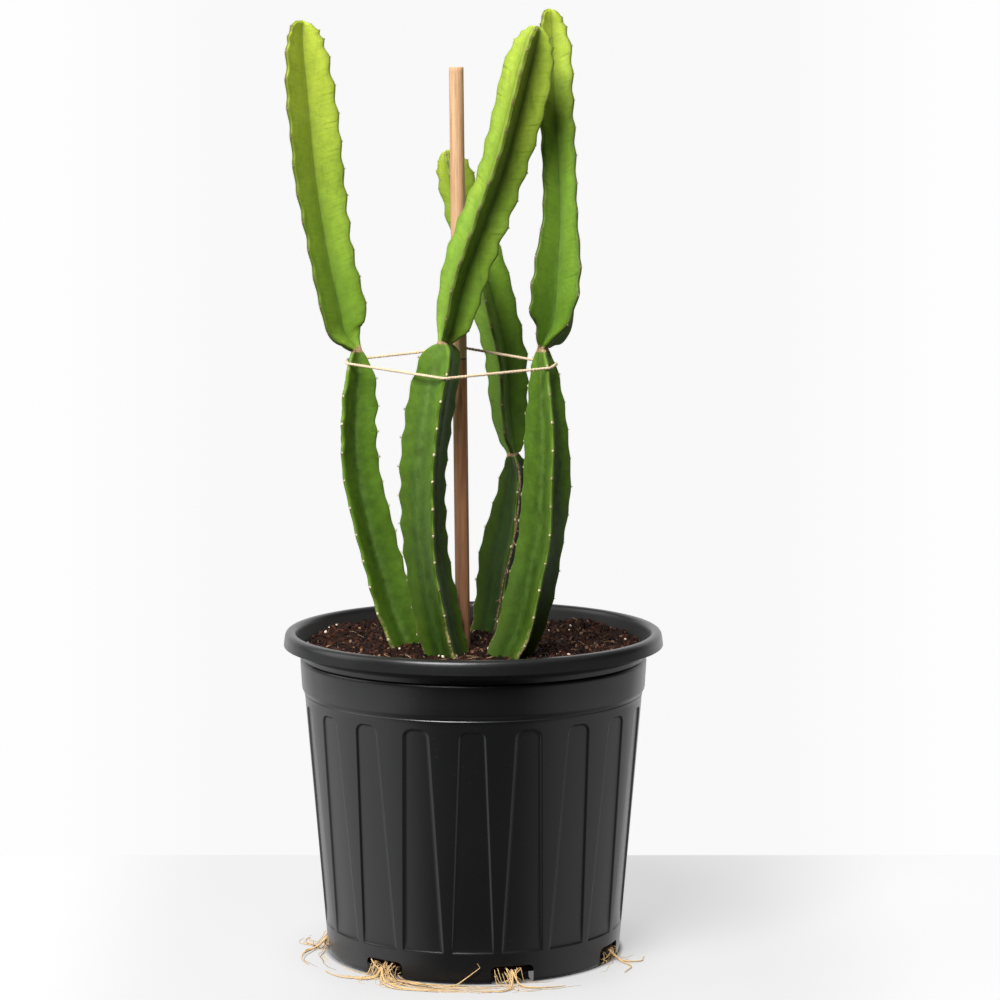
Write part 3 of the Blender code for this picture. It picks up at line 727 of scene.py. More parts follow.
def mixMesh():
    points = [(0, 0, mixHeight(0, 0))]
    faces = []
    count = mix["sectors"]
    for ring in range(1, mix["rings"] + 1):
        for i in range(count):
            x, y, _ = around(360 * i / count, mix["radius"] * ring / mix["rings"], 0)
            points.append((x, y, mixHeight(x, y)))
    tops = len(points)
    for radius, height in mix["under"]:
        points += [around(360 * i / count, radius, height) for i in range(count)]
    last = len(points) - count
    points.append((0, 0, mix["under"][-1][1]))
    for i in range(count):
        j = (i + 1) % count
        faces.append((0, 1 + i, 1 + j))
        for low in range(1, last, count):
            faces.append((low + i, low + count + i, low + count + j, low + j))
        faces.append((last + j, last + i, len(points) - 1))
    mesh = meshFrom("soil", points, [], faces)
    setFields(mesh, open=np.arange(len(points)) < tops)
    return mesh


shapeKinds = 6  # of each thing that is scattered


# Shapes to scatter, each in a collection that isn't shown
def shapeStock(name, meshes):
    stock = bpy.data.collections.new(name)
    for mesh in meshes:
        stock.objects.link(bpy.data.objects.new(mesh.name, mesh))
    return stock


def crumbShape(name, seed, squash, jag):
    rng = random.Random(seed)
    shape = bmesh.new()
    bmesh.ops.create_icosphere(shape, subdivisions=1, radius=1)
    for vertex in shape.verts:
        vertex.co *= 1 + jag * rng.uniform(-1, 1)
        for axis, size in enumerate(squash):
            vertex.co[axis] *= size
    return meshFromShape(name, shape)


# A thin bent fibre along X
def fibreShape(name, seed):
    rng = random.Random(seed)
    phase = rng.uniform(0, 6)
    bendY, bendZ = mix["fibreBend"]
    points = []
    for i in range(6):
        t = i / 5
        aside = (bendY * math.sin(phase + 3.2 * t), bendZ * math.sin(phase + 2 * t + 1))
        centre = Vector((mix["fibreLength"] * (t - 0.5), *aside))
        radius = mix["fibreRadius"] * (1 - 0.75 * abs(2 * t - 1) ** 2)  # thin at both ends
        for side in range(3):
            turn = 2 * math.pi * side / 3
            points.append(centre + Vector((0, radius * math.cos(turn), radius * math.sin(turn))))
    faces = [(2, 1, 0), (15, 16, 17)]
    for i in range(5):
        for side in range(3):
            a, b = 3 * i + side, 3 * i + (side + 1) % 3
            faces.append((a, b, b + 3, a + 3))
    return meshFrom(name, points, [], faces)


def scatterTree(stock, material):
    graph, ground, stock, density, small, large, lay, sink, seed, material = newTree(
        "scatter",
        Stock=stock,
        Density=1.0,
        Small=1.0,
        Large=1.0,
        Lay=1.0,
        Sink=0.0,
        Seed=0,
        Material=material,
    )
    openFaces = maths("GREATER_THAN", graph.field("open"), 0.99)
    spots = graph.strew(ground, density, seed, Selection=openFaces)
    size = graph.random(small, large, seed + 1)
    turns = [graph.random(-3.14, 3.14, seed + i) for i in (2, 3, 4)]
    turned = graph.turned(turns[0] * lay, turns[1] * lay, turns[2])
    spots = graph.shift(spots, "Offset", graph.xyz(0.0, 0.0, sink * size * -1))
    copies = graph.copies(spots, stock, shapeKinds, seed + 5, turned, size)
    copies = graph.store(copies, "tint", graph.random(0.0, 1.0, seed + 6), domain="INSTANCE")
    return finishTree(graph, copies, material)


def makeMixMaterials():
    soil, graph, place = newMaterial("mix_crumb")
    fine = graph.noise(place, 700.0, 4.0, 0.7)
    patches = graph.noise(place, 120.0, 3.0)
    colour = graph.layers(
        (0.003, 0.0011, 0.0006),
        (ease(fine, 0.35, 0.7), (0.034, 0.0105, 0.0045)),
        (ease(patches, 0.55, 0.75) * 0.5, (0.012, 0.005, 0.003)),
    )
    finishMaterial(graph, colour, 0.8, (fine, 0.0012, 1.0), Specular_IOR_Level=0.12)

    bark, graph, place = newMaterial("bark_crumb")
    tint = graph.mark("tint")
    fine = graph.noise(place, 1300.0, 3.0, 0.7)
    colour = graph.layers(
        (0.003, 0.0010, 0.0005),
        (ease(tint, 0.10, 0.55), (0.024, 0.0068, 0.0028)),
        (ease(tint, 0.55, 0.90), (0.070, 0.024, 0.010)),
        (ease(tint, 0.95, 0.99), (0.30, 0.17, 0.095)),
        (ease(fine, 0.4, 0.75) * 0.55, (0.006, 0.0022, 0.0014)),
    )
    finishMaterial(graph, colour, 0.7, (fine, 0.0006, 1.0), Specular_IOR_Level=0.15)

    perlite, graph, place = newMaterial("perlite_grain")
    fine = graph.noise(place, 1700.0, 3.0, 0.6)
    colour = graph.layers(
        (0.62, 0.46, 0.36),
        (graph.mark("tint"), (0.86, 0.77, 0.68)),
        (ease(fine, 0.5, 0.8) * 0.5, (0.28, 0.16, 0.11)),
    )
    finishMaterial(graph, colour, 0.85, (fine, 0.0005, 1.0))

    fibre, graph, _ = newMaterial("mix_fibre")
    finishMaterial(graph, graph.blend(graph.mark("tint"), (0.10, 0.045, 0.022), (0.46, 0.30, 0.16)), 0.7)
    return soil, bark, perlite, fibre


def makeMix():
    soil, bark, perlite, fibre = makeMixMaterials()
    ground = mixMesh()
    ground.materials.append(soil)
    ground.shade_smooth()
    body = addObject("soil", ground)
    crumbs, grains = [], []
    for i, squash in enumerate(mix["squashes"]):
        crumbs.append(crumbShape(f"crumb_{i}", i, squash, mix["crumbJag"]))
        grains.append(crumbShape(f"grain_{i}", 20 + i, mix["perliteSquash"], mix["perliteJag"]))
    crumbs, grains = shapeStock("crumbs", crumbs), shapeStock("grains", grains)
    fibres = shapeStock("fibres", [fibreShape(f"fibre_{i}", i) for i in range(shapeKinds)])
    tree = scatterTree(crumbs, bark)
    # Each with how many to the square metre, its sizes, tilt, how far it sinks times its size, and its seed
    jobs = (
        ("soil_crumbs", crumbs, bark, mix["crumbs"], mix["crumbSize"], 1.0, -0.1, 3),
        ("soil_perlite", grains, perlite, mix["perlite"], mix["perliteSize"], 1.0, -0.5, 5),
        ("soil_fibres", fibres, fibre, mix["fibres"], mix["fibreSize"], 0.09, -0.0009, 8),
    )
    for name, stock, material, density, (small, large), lay, sink, seed in jobs:
        sizes = {"Stock": stock, "Density": float(density), "Small": small, "Large": large, "Lay": lay}
        piece = grow(name, ground.copy(), tree, Sink=sink, Seed=seed, Material=material, **sizes)
        keep(piece, "potting_mix")
    keep(body, "potting_mix", "potting_mix")


makeMix()


# Stems: two joints each, with three ribs. Rows are x, y, z and the rib radius in mm, from the lower end up.

stems = {
    "left": {
        "lower": [
            (-39.8, 4, 180, 12.2), (-43.7, 4, 200, 17.7), (-49.3, 4, 224, 19.7), (-63.2, 4, 261, 19.6),
            (-82.7, 3, 336, 18.3), (-87.7, 2, 380, 17.7), (-86.8, 2, 410, 16.8), (-85.4, 2, 427.5, 14.1),
            (-85.8, 2, 440, 8.7), (-85.9, 2, 446.6, 4.6),
        ],
        "upper": [
            (-85.9, 2, 446.6, 4.6), (-91.3, 2, 453.2, 10.8), (-95.9, 1, 461.3, 17.2), (-98.5, 0, 476, 21),
            (-103.5, -1, 498, 21.7), (-109.6, -2, 531, 21.2), (-115.5, -3, 571, 22.6),
            (-119.4, -4, 614, 23.4), (-121.8, -4, 643, 22.4), (-123.6, -4, 664, 19.2),
            (-124, -4, 677, 14.3), (-123.7, -4, 682, 10.4), (-123.3, -4, 684.3, 6.5),
        ],
        # Where the ribs point, and their tone from old to young green: at the lower joint's ends, then at the
        # upper joint's. Tones under zero turn towards a darker green that is painted shade, darkest on the
        # back stem's lower joint behind the others.
        "ribs": ((-27, 93, 213), (-29, 91, 211), (-30, 90, 210), (-36, 84, 204)),
        "tones": (-0.24, 0.18, 0.50, 1.0),
        # How much more the grooves stay from the axis, as a share of the rib radius
        "groove": (0.04, 0.00),
    },
    "front": {
        "lower": [
            (-13, -46, 182, 12), (-14, -46, 205, 17), (-16.5, -46, 226, 19), (-22.5, -46, 250, 19.6),
            (-32.5, -47, 310, 20), (-33.7, -48, 357, 21.2), (-31.2, -48, 386, 21), (-26.9, -49, 415, 20.5),
            (-22.2, -50, 439, 18.3), (-21, -50, 448.5, 15.7), (-20.8, -50, 453.2, 10.8),
            (-20.9, -50, 455.8, 5),
        ],
        "upper": [
            (-20.9, -50, 455.8, 5), (-18.4, -50, 462.3, 10), (-15.6, -51, 472, 15.7),
            (-8.6, -53, 502, 19.4), (5.9, -55, 542.5, 19.7), (19.6, -57, 582, 20.2), (32.2, -60, 629, 21.4),
            (37.6, -61, 651, 20.2), (42.2, -62, 668, 16.3), (44.4, -62, 675, 11.8), (45.7, -62, 679.5, 5.8),
        ],
        "ribs": ((14.5, 134.5, 254.5), (14.5, 134.5, 254.5), (-14, 88, 226), (-9, 93, 231)),
        "tones": (-0.56, 0.10, 0.48, 0.82),
        "groove": (0.28, 0.15),
    },
    "right": {
        "lower": [
            (24, -49, 182, 12), (25.5, -49, 205, 17.5), (28.5, -49, 228, 19.6), (37, -49, 249, 20.6),
            (46.4, -47, 290, 20.9), (51.8, -46, 320, 20.6), (54.6, -43, 367, 19.4), (53.8, -41, 400, 17),
            (51.7, -39, 434, 12.2), (50.9, -38, 444, 7.9), (50.6, -38, 451.3, 4.3),
        ],
        "upper": [
            (50.6, -38, 451.3, 4.3), (53, -38, 457, 10.5), (56.5, -37, 463.4, 17.5),
            (58.9, -36, 472.7, 24.5), (60.4, -34, 491, 26.5), (61.1, -31, 513, 22.2),
            (62.3, -28, 540, 16.6), (61.5, -25, 571, 15.5), (59.6, -22, 601, 16.1), (57.1, -18, 636, 16.5),
            (56.2, -16, 664, 15), (55.2, -14, 681.3, 11.6), (54.7, -14, 689.7, 7.9),
            (54.7, -14, 692.5, 4.8),
        ],
        "ribs": ((9, 129, 249), (9, 129, 249), (12, 126, 304), (84, 204, 324)),
        "quickly": 0.6,  # how soon the upper joint's ribs turn
        "tones": (-0.50, 0.14, 0.16, 0.94),
        "groove": (0.18, 0.08),
    },
    "back": {
        "lower": [
            (7, 50, 180, 11), (9, 50, 200, 16), (13.1, 50, 225, 18), (18.5, 49, 254, 19.6),
            (22.6, 48, 285, 20.6), (27.1, 47, 308, 19.8), (30.2, 46, 331, 16.3), (31.9, 45, 352, 12.7),
            (30.4, 44, 360, 8.2), (29.3, 44, 365.4, 4.9),
        ],
        "upper": [
            (29.3, 44, 365.4, 4.9), (28.9, 44, 371.4, 9.7), (27.4, 44, 380, 14.9), (24.8, 43, 403, 17.5),
            (22, 43, 440, 19.3), (13.7, 42, 476, 19.7), (1.8, 41, 518, 19.3), (-5.5, 40, 538, 18.5),
            (-11.4, 39, 559, 17), (-15.8, 38, 577, 14.5), (-18, 38, 585.6, 10), (-19.1, 38, 590.5, 4.8),
        ],
        "ribs": ((10, 130, 250), (10, 130, 250), (-10, 110, 230), (-8, 112, 232)),
        # The lower joint's low tones are painted shade from the stems in front of it
        "tones": (-0.8, -0.65, 0.10, 0.85),
        "groove": (0.18, 0.04),
    },
}

skin = {
    "pitch": 0.020,  # between the areoles of a rib
    "notches": (0.0013, 0.0016),  # how deep, on lower and on upper joints
    "lively": (0.006, 0.014),  # rib radii between which the notches and strays set in
    "crowded": 1.7,  # how many areoles more crowd at a growing tip, and over what length
    "crowdedOver": 0.022,
    "corkUnder": 0.0066,  # rib radius under which a neck is corky, and how far from the neck
    "corkOver": 0.03,
    "corkFade": 0.0018,
    "uneven": 0.9,  # how much the notches differ in depth along a rib
    "grooveLeast": 0.0024,  # how far the grooves stay from the axis at least
    "grooveMost": 0.85,  # and at most, as a share of the rib radius
    "margin": 0.0016,  # half the thickness of a rib's edge
    "swell": 0.0011,  # how far a rib's edge strays in and out, and to the sides
    "sway": 0.0022,
    "ringStep": 0.0015,
    "pointsAcross": 31,
    "marginShare": 0.34,  # of those points, how many turn round the edge
    "edgeLead": 0.70,  # how far a flank runs straight in from the edge, as a share of its width
    "grooveLead": 0.09,
    "endCap": 0.0014,
    "mixTop": 0.2275,
}


# Rings of a stem, as columns: centre, way along it, way out along the first rib, rib radius and more
def stemRings(stem, seed):
    parts = []
    for joint, rows in enumerate((metres(stem["lower"]), metres(stem["upper"]))):
        low, high = stem["ribs"][2 * joint : 2 * joint + 2]
        whole = lengthAlong(smoothRoute(rows, 0.001))[-1]
        pitch = 3 * whole / round(3 * whole / skin["pitch"])
        tip = Vector(rows[-1][:3]) - Vector(rows[-2][:3])
        if joint:
            rows = rows + [(*(Vector(rows[-1][:3]) + tip.normalized() * skin["endCap"]), 0.0)]
        else:
            rows = [(*(Vector(rows[0][:3]) - Vector((0, 0, skin["endCap"]))), 0.0)] + rows
        route = smoothRoute(rows, skin["ringStep"])
        ways = np.gradient(route[:, :3], axis=0)
        ways /= np.linalg.norm(ways, axis=1)[:, None]
        along = lengthAlong(route) - (0 if joint else skin["endCap"])
        share = np.clip(along / whole, 0, 1)
        turned = share ** stem.get("quickly", 1.0) if joint else share
        turns = [np.radians(between(ends, turned)) for ends in zip(low, high)]
        out = np.stack([np.sin(turns[0]), -np.cos(turns[0]), 0 * turns[0]], axis=1)
        out -= ways * np.sum(out * ways, axis=1)[:, None]
        out /= np.linalg.norm(out, axis=1)[:, None]
        reach = np.maximum(route[:, 3], 0)
        slim, full = skin["lively"]
        lively = np.clip((reach - slim) / (full - slim), 0, 1) * (route[:, 2] > skin["mixTop"])
        spots = [Vector((place * 25, 9.3, seed + joint * 0.5)) for place in along]
        uneven = skin["uneven"] * np.array([noise.noise(spot) for spot in spots])
        corky = np.clip((skin["corkUnder"] - reach) / skin["corkFade"], 0, 1)
        groove = skin["grooveLeast"] + stem["groove"][joint] * reach
        fromNeck = along if joint else whole - along
        crowded = np.clip(1 - (whole - along) / skin["crowdedOver"], 0, 1) ** 2 * joint
        part = {
            "centre": route[:, :3],
            "way": ways,
            "out": out,
            "reach": reach,
            "groove": np.minimum(reach * skin["grooveMost"], groove),
            "second": turns[1] - turns[0],
            "third": turns[2] - turns[0],
            "crests": along / pitch + crowded * skin["crowded"],
            "notch": skin["notches"][joint] * lively * (1 + uneven),
            "cork": corky * (fromNeck < skin["corkOver"]),
            "tone": between(stem["tones"][2 * joint : 2 * joint + 2], share**1.3),
            "young": np.full(len(route), float(joint)),
        }
        for rib in range(3):
            spots = [Vector((place * 22, rib * 4.1, seed + joint * 0.5)) for place in along]
            stray = [noise.noise_vector(spot) for spot in spots]
            part[f"swell_{rib}"] = np.array([value.x for value in stray]) * skin["swell"] * lively
            part[f"sway_{rib}"] = np.array([value.y for value in stray]) * skin["sway"] * lively
        parts.append(part)
    return parts


# The value for the first, second or third rib
def ofRib(rib, first, second, third):
    toSecond, toThird = maths("MINIMUM", rib, 1), maths("MAXIMUM", rib - 1, 0)
    return first + (second - first) * toSecond + (third - second) * toThird


# The skin over a stem's rings. Across a rib each point goes from one groove over the edge to the next groove.
def skinTree():
    graph, rail, count, margin, edgeShare, material = newTree(
        "ribbed_skin",
        Across=skin["pointsAcross"],
        Margin=skin["margin"],
        EdgeShare=skin["marginShare"],
        Material=stemSkin,
    )
    rail = graph.curve(rail)
    flank = graph.add("GeometryNodeCurvePrimitiveLine")
    flank = graph.add("GeometryNodeResampleCurve", {}, {"Curve": flank, "Count": count})
    flank = graph.store(flank, "across", graph.add("GeometryNodeSplineParameter") * 2 - 1)
    ribs = graph.repeat(flank, 3)
    ribs = graph.store(ribs, "rib", ribs.out("Duplicate Index"))
    shape = graph.skin(rail, ribs)

    across, rib, reach, groove = [graph.field(name) for name in ("across", "rib", "reach", "groove")]
    crests = graph.field("crests") + rib / 3
    phase = maths("FRACT", crests)
    radius = reach - graph.field("notch") * (ease(phase, 0.0, 0.42) - ease(phase, 0.42, 1.0))
    radius = radius + ofRib(rib, *[graph.field(f"swell_{i}") for i in range(3)])
    sway = ofRib(rib, *[graph.field(f"sway_{i}") for i in range(3)])

    half = maths("MINIMUM", margin, reach / 2)
    t = maths("ABSOLUTE", across)
    arc = maths("MINIMUM", t / edgeShare, 1) * (math.pi / 2)
    b = maths("MAXIMUM", (t - edgeShare) / (1 - edgeShare), 0)
    # Half the angle to the next rib, on the side that the point is on
    second, third = graph.field("second"), graph.field("third")
    toSecond, toThird, toFirst = second / 2, (third - second) / 2, math.pi - third / 2
    onwards = ofRib(rib, toSecond, toThird, toFirst)
    backwards = ofRib(rib, toFirst, toSecond, toThird)
    halfGap = backwards + (onwards - backwards) * maths("GREATER_THAN", across, 0)

    # A flank is a cubic curve with the weights c3, c2b, cb2 and b3, from the edge into the groove
    edge = radius - half * 0.9
    grooveOut = groove * maths("COSINE", halfGap)
    grooveAcross = groove * maths("SINE", halfGap)
    long = edge - grooveOut
    lead = long * skin["grooveLead"]
    nearOut = grooveOut + lead * maths("SINE", halfGap)
    nearAcross = grooveAcross - lead * maths("COSINE", halfGap)
    c = 1 - b
    c3, c2b, cb2, b3 = c * c * c, c * c * b * 3, c * b * b * 3, b * b * b
    outwards = edge * c3 + (edge - long * skin["edgeLead"]) * c2b + nearOut * cb2 + grooveOut * b3
    sideways = half * (c3 + c2b) + nearAcross * cb2 + grooveAcross * b3
    outwards = outwards + half * 0.9 * maths("COSINE", arc)
    sideways = (sideways - half * (1 - maths("SINE", arc))) * maths("SIGN", across) + sway * (1 - b) * (1 - b)

    out = graph.vector("out")
    side = maths("CROSS_PRODUCT", graph.vector("way"), out)
    turn = ofRib(rib, 0, second, third)
    ribOut = out * maths("COSINE", turn) + side * maths("SINE", turn)
    ribSide = side * maths("COSINE", turn) - out * maths("SINE", turn)
    shape = graph.shift(shape, "Position", graph.vector("centre") + ribOut * outwards + ribSide * sideways)
    shape = graph.store(shape, "rib_map", graph.xyz(across * 0.5 + 0.5, crests, 0.0), "FLOAT2", "CORNER")
    return finishTree(graph, graph.merge(shape), material)


stemColours = {
    # Painted shade: the darkest green, for joints in the shade of the others
    "shadedGreen": (0.013, 0.030, 0.002),
    "old": (0.066, 0.140, 0.010),
    "middle": (0.175, 0.310, 0.030),
    "young": (0.425, 0.505, 0.050),
    # Dark green of the skin's own streaks and veins, also used as painted shade in grooves and creases
    "veinAndShadeGreen": (0.022, 0.062, 0.002),
    # Painted sheen along an old rib's ridge
    "ridgeSheenGreen": (0.19, 0.33, 0.030),
    # Painted sheen
    "grooveSheenGreen": (0.20, 0.31, 0.07),  # on the bottom of an old groove
    "edgeOld": (0.20, 0.31, 0.045),
    "edgeYoung": (0.12, 0.13, 0.035),
    "cork": (0.58, 0.42, 0.25),
    "corkDark": (0.20, 0.12, 0.06),
}


def makeStemSkin():
    material, graph, place = newMaterial("stem_skin")
    x, crests, _ = graph.parts(graph.add("ShaderNodeUVMap", {"uv_map": "rib_map"}))
    fromEdge = maths("ABSOLUTE", x * 2 - 1)  # 0 at a rib's edge, 1 in the groove
    tone, cork, young = graph.mark("tone"), graph.mark("cork"), graph.mark("young")
    old = 1 - young
    broad = graph.noise(place, 38.0, 3.0)
    fine = graph.noise(place, 420.0, 3.0, 0.6)
    fleck = graph.noise(place, 1500.0, 2.0, 0.6)
    streak = graph.streaks(place, 260.0, 36.0)
    mottle = graph.noise(place, 160.0, 4.0, 0.65)
    blotch = graph.noise(place, 85.0, 2.0, 0.5)

    # From the darkest green, which is painted shade, to the young one, with painted shade deeper in the
    # grooves
    shade = tone + (broad - 0.5) * 0.22
    # Painted shade: darker towards the bottom of each groove, with a dark line in young grooves
    grooveShade = ease(fromEdge, 0.45, 0.92) * (0.42 - young * 0.07) + ease(fromEdge, 0.90, 1.0) * young * 0.3
    colour = graph.layers(
        stemColours["shadedGreen"],
        (ease(shade, -0.6, 0.1), stemColours["old"]),
        (ease(shade, -0.05, 0.55), stemColours["middle"]),
        (ease(shade, 0.45, 1.05), stemColours["young"]),
        (grooveShade, stemColours["veinAndShadeGreen"]),
    )
    uneven = (mottle - 0.5) * (1.30 - young * 0.60) + (fleck - 0.5) * 0.50 + (blotch - 0.5) * old * 0.50
    colour = colour * (1 + uneven)
    # Painted sheen: a patchy lighter stripe along the bottom of old grooves
    grooveSheen = ease(fromEdge, 0.56, 0.98) * ease(mottle, 0.15, 0.65) * ease(tone, -0.60, 0.0)

    # Creases run from under each areole inwards and down, and fainter veins beside them. The creases are
    # darkened with painted shade; the veins are the skin's own darker lines.
    def band(shift, wide):
        offset = maths("FRACT", crests + fromEdge * 0.55 + (broad - 0.5) * 0.25 + shift)
        return 1 - ease(maths("ABSOLUTE", offset - 0.5), 0.0, wide)

    crease = band(0.56, 0.06) * ease(fromEdge, 0.75, 0.2) * ease(broad, 0.35, 0.7)
    veins = band(0.75, 0.06) * 0.4 + band(0.93, 0.05) * 0.3 + band(0.30, 0.06) * 0.3
    lines = crease * (0.18 + young * 0.44) + veins * ease(fromEdge, 1.0, 0.4) * 0.30

    # The edge: a pale line on old joints, a dark horny one on young joints, both wider at the areoles
    phase = maths("FRACT", crests + 0.5)
    nearCrest = 1 - ease(maths("ABSOLUTE", phase - 0.5), 0.03, 0.22)
    wide = 0.055 + nearCrest * 0.09 + (fine - 0.5) * 0.05 + young * 0.03
    edge = 1 - ease(fromEdge / wide, 0.6, 1.2)
    edgeColour = graph.blend(young, stemColours["edgeOld"], stemColours["edgeYoung"])
    edgeColour = graph.blend(nearCrest * 0.6, edgeColour, stemColours["corkDark"])
    colour = graph.layers(
        colour,
        (ease(streak, 0.55, 0.8) * 0.25, stemColours["veinAndShadeGreen"]),
        # Painted sheen: a lighter band along the ridges of old joints
        (ease(fromEdge, 0.66, 0.36) * old * 0.14, stemColours["ridgeSheenGreen"]),
        (grooveSheen * old * 0.30, stemColours["grooveSheenGreen"]),
        # Painted shade in the creases, and the darker veins
        (lines, stemColours["veinAndShadeGreen"]),
        (edge * (0.5 + young * 0.25), edgeColour),
    )
    # Painted shade: darker towards the rounded rib edges, most on young joints
    colour = colour * (1 - ease(fromEdge, 0.42, 0.28) * (0.06 + young * 0.30))

    # Corky necks, and scurf on the ribs just over the mix
    height = graph.parts(place)[2]
    low = ease(height, 0.270, 0.226) * ease(fromEdge, 0.42, 0.05) * ease(fine, 0.42, 0.6)
    corky = maths("MAXIMUM", ease(cork + (fine - 0.5) * 0.9, 0.30, 0.75), low * 0.8)
    barky = graph.blend(ease(fleck, 0.35, 0.7), stemColours["corkDark"], stemColours["cork"])

    relief = fine * 0.35 + fleck * 0.15 + mottle * 0.9 - lines * 0.9 + corky * fleck * 1.4
    finishMaterial(
        graph,
        graph.blend(corky, colour, barky),
        0.42 + broad * 0.08 + corky * 0.4 + fine * 0.05 + ease(fromEdge, 0.55, 1.0) * 0.25,
        (relief, 0.00035, 0.8),
        Specular_IOR_Level=0.18,
        Subsurface_Weight=0.40,
        Subsurface_Radius=(0.0055, 0.0070, 0.0003),
        Subsurface_Scale=1.0,
    )
    return material


stemSkin = makeStemSkin()


# Areoles: a woolly cushion on every crest of a rib, with a few short spines

areole = {
    "wool": 0.00088,
    "woolShape": (1.25, 0.95, 0.72),  # of a cushion, across, along the rib and high
    "tufts": (0.16, 0.07),  # how far its surface strays, in broad tufts and from point to point
    "spine": 0.0018,
    "spineCounts": (3, 4, 5),
    "spineLean": (0.25, 0.95),  # radians from straight out
    "spineLengths": (0.7, 1.35),
    "spineRadii": (0.16, 0.11),  # at its foot and in its middle, as shares of its usual length
    "sunk": 0.0002,  # into the rib's edge
    "lift": 0.35,  # how far it is turned up along the stem
    "youngSize": 0.72,  # on an upper joint, as a share
    "smallest": 0.0062,  # rib radius under which a neck or tip is bare
}


def cushionShape(name, seed):
    rng = random.Random(seed)
    shape = bmesh.new()
    bmesh.ops.create_icosphere(shape, subdivisions=2, radius=1)
    broad, fine = areole["tufts"]
    for vertex in shape.verts:
        tuft = 1 + broad * noise.noise(vertex.co * 2.4 + Vector((seed, 0, 0))) + fine * rng.uniform(-1, 1)
        sizes = zip(vertex.co, areole["woolShape"])
        vertex.co = Vector([part * size for part, size in sizes]) * tuft
    mesh = meshFromShape(name, shape)
    mesh.shade_smooth()
    return mesh


# Spines fan out from the middle of an areole, for a spine one unit long
def spineShape(name, seed):
    rng = random.Random(seed)
    points, faces = [], []
    count = rng.choice(areole["spineCounts"])
    foot, middle = areole["spineRadii"]
    for i in range(count):
        turn = 2 * math.pi * (i + rng.uniform(-0.3, 0.3)) / count
        lean = rng.uniform(*areole["spineLean"])
        aim = Vector((math.cos(turn) * math.sin(lean), math.sin(turn) * math.sin(lean), math.cos(lean)))
        first = aim.orthogonal().normalized()
        second = aim.cross(first)
        length = rng.uniform(*areole["spineLengths"])
        start = len(points)
        for radius, height in ((foot, -0.1), (middle, 0.45 * length)):
            for side in range(5):
                angle = 2 * math.pi * side / 5
                points.append(aim * height + (first * math.cos(angle) + second * math.sin(angle)) * radius)
        points.append(aim * length)
        for side in range(5):
            j = (side + 1) % 5
            faces.append((start + side, start + j, start + 5 + j, start + 5 + side))
            faces.append((start + 5 + side, start + 5 + j, start + 10))
        faces.append(tuple(start + side for side in reversed(range(5))))
    mesh = meshFrom(name, points, [], faces)
    mesh.shade_smooth()
    return mesh


def areoleTree(stock, material):
    graph, spots, stock, size, vary, seed, material = newTree(
        "set_on_areoles", Stock=stock, Size=1.0, Vary=0.2, Seed=0, Material=material
    )
    settings = {"primary_axis": "Z", "secondary_axis": "X"}
    axes = {"Primary Axis": graph.vector("aim"), "Secondary Axis": graph.vector("way")}
    turned = graph.add("FunctionNodeAxesToRotation", settings, axes)
    size = size * graph.field("big") * graph.random(1 - vary, 1 + vary, seed)
    copies = graph.copies(spots, stock, shapeKinds, seed + 1, turned, size)
    copies = graph.store(copies, "tint", graph.random(0.0, 1.0, seed + 2), domain="INSTANCE")
    copies = graph.store(copies, "young", graph.field("young"), domain="INSTANCE")
    return finishTree(graph, copies, material)


def areolePlaces(parts):
    found = {"place": [], "aim": [], "way": [], "big": [], "young": []}
    for joint, part in enumerate(parts):
        for rib in range(3):
            marks = part["crests"] + rib / 3
            for mark in range(math.ceil(marks[0]), math.floor(marks[-1]) + 1):
                names = ("reach", f"swell_{rib}", f"sway_{rib}", "second", "third")
                reach, stray, sway, *turns = [float(np.interp(mark, marks, part[name])) for name in names]
                centre, way, out = [
                    Vector([np.interp(mark, marks, column) for column in part[name].T])
                    for name in ("centre", "way", "out")
                ]
                if reach < areole["smallest"] or centre.z < skin["mixTop"] - 0.002:
                    continue
                way.normalize()
                out.normalize()
                turn = (0, *turns)[rib]
                ribOut = out * math.cos(turn) + way.cross(out) * math.sin(turn)
                out = ribOut * (reach + stray - areole["sunk"])
                found["place"].append(centre + out + way.cross(ribOut) * sway)
                found["aim"].append((ribOut + way * areole["lift"]).normalized())
                found["way"].append(way)
                found["big"].append(areole["youngSize"] if joint else 1.0)
                found["young"].append(float(joint))
    return found


def makeAreoleMaterials():
    wool, graph, place = newMaterial("areole_wool")
    fuzz = graph.noise(place, 2400.0, 3.0, 0.7)
    tint = graph.mark("tint")
    pale = graph.blend(tint, (0.52, 0.47, 0.22), (0.80, 0.72, 0.46))
    dull = graph.blend(tint, (0.16, 0.105, 0.055), (0.36, 0.30, 0.15))
    dark = (0.16, 0.10, 0.05)
    colour = graph.layers(pale, (graph.mark("young") * 0.85, dull), (ease(fuzz, 0.45, 0.8) * 0.45, dark))
    finishMaterial(graph, colour, 0.95, (fuzz, 0.0003, 1.0), Sheen_Weight=0.4)

    horn, graph, place = newMaterial("spine_horn")
    streak = graph.noise(place, 1800.0, 2.0)
    finishMaterial(graph, graph.blend(streak, (0.045, 0.026, 0.015), (0.20, 0.125, 0.065)), 0.45)
    return wool, horn


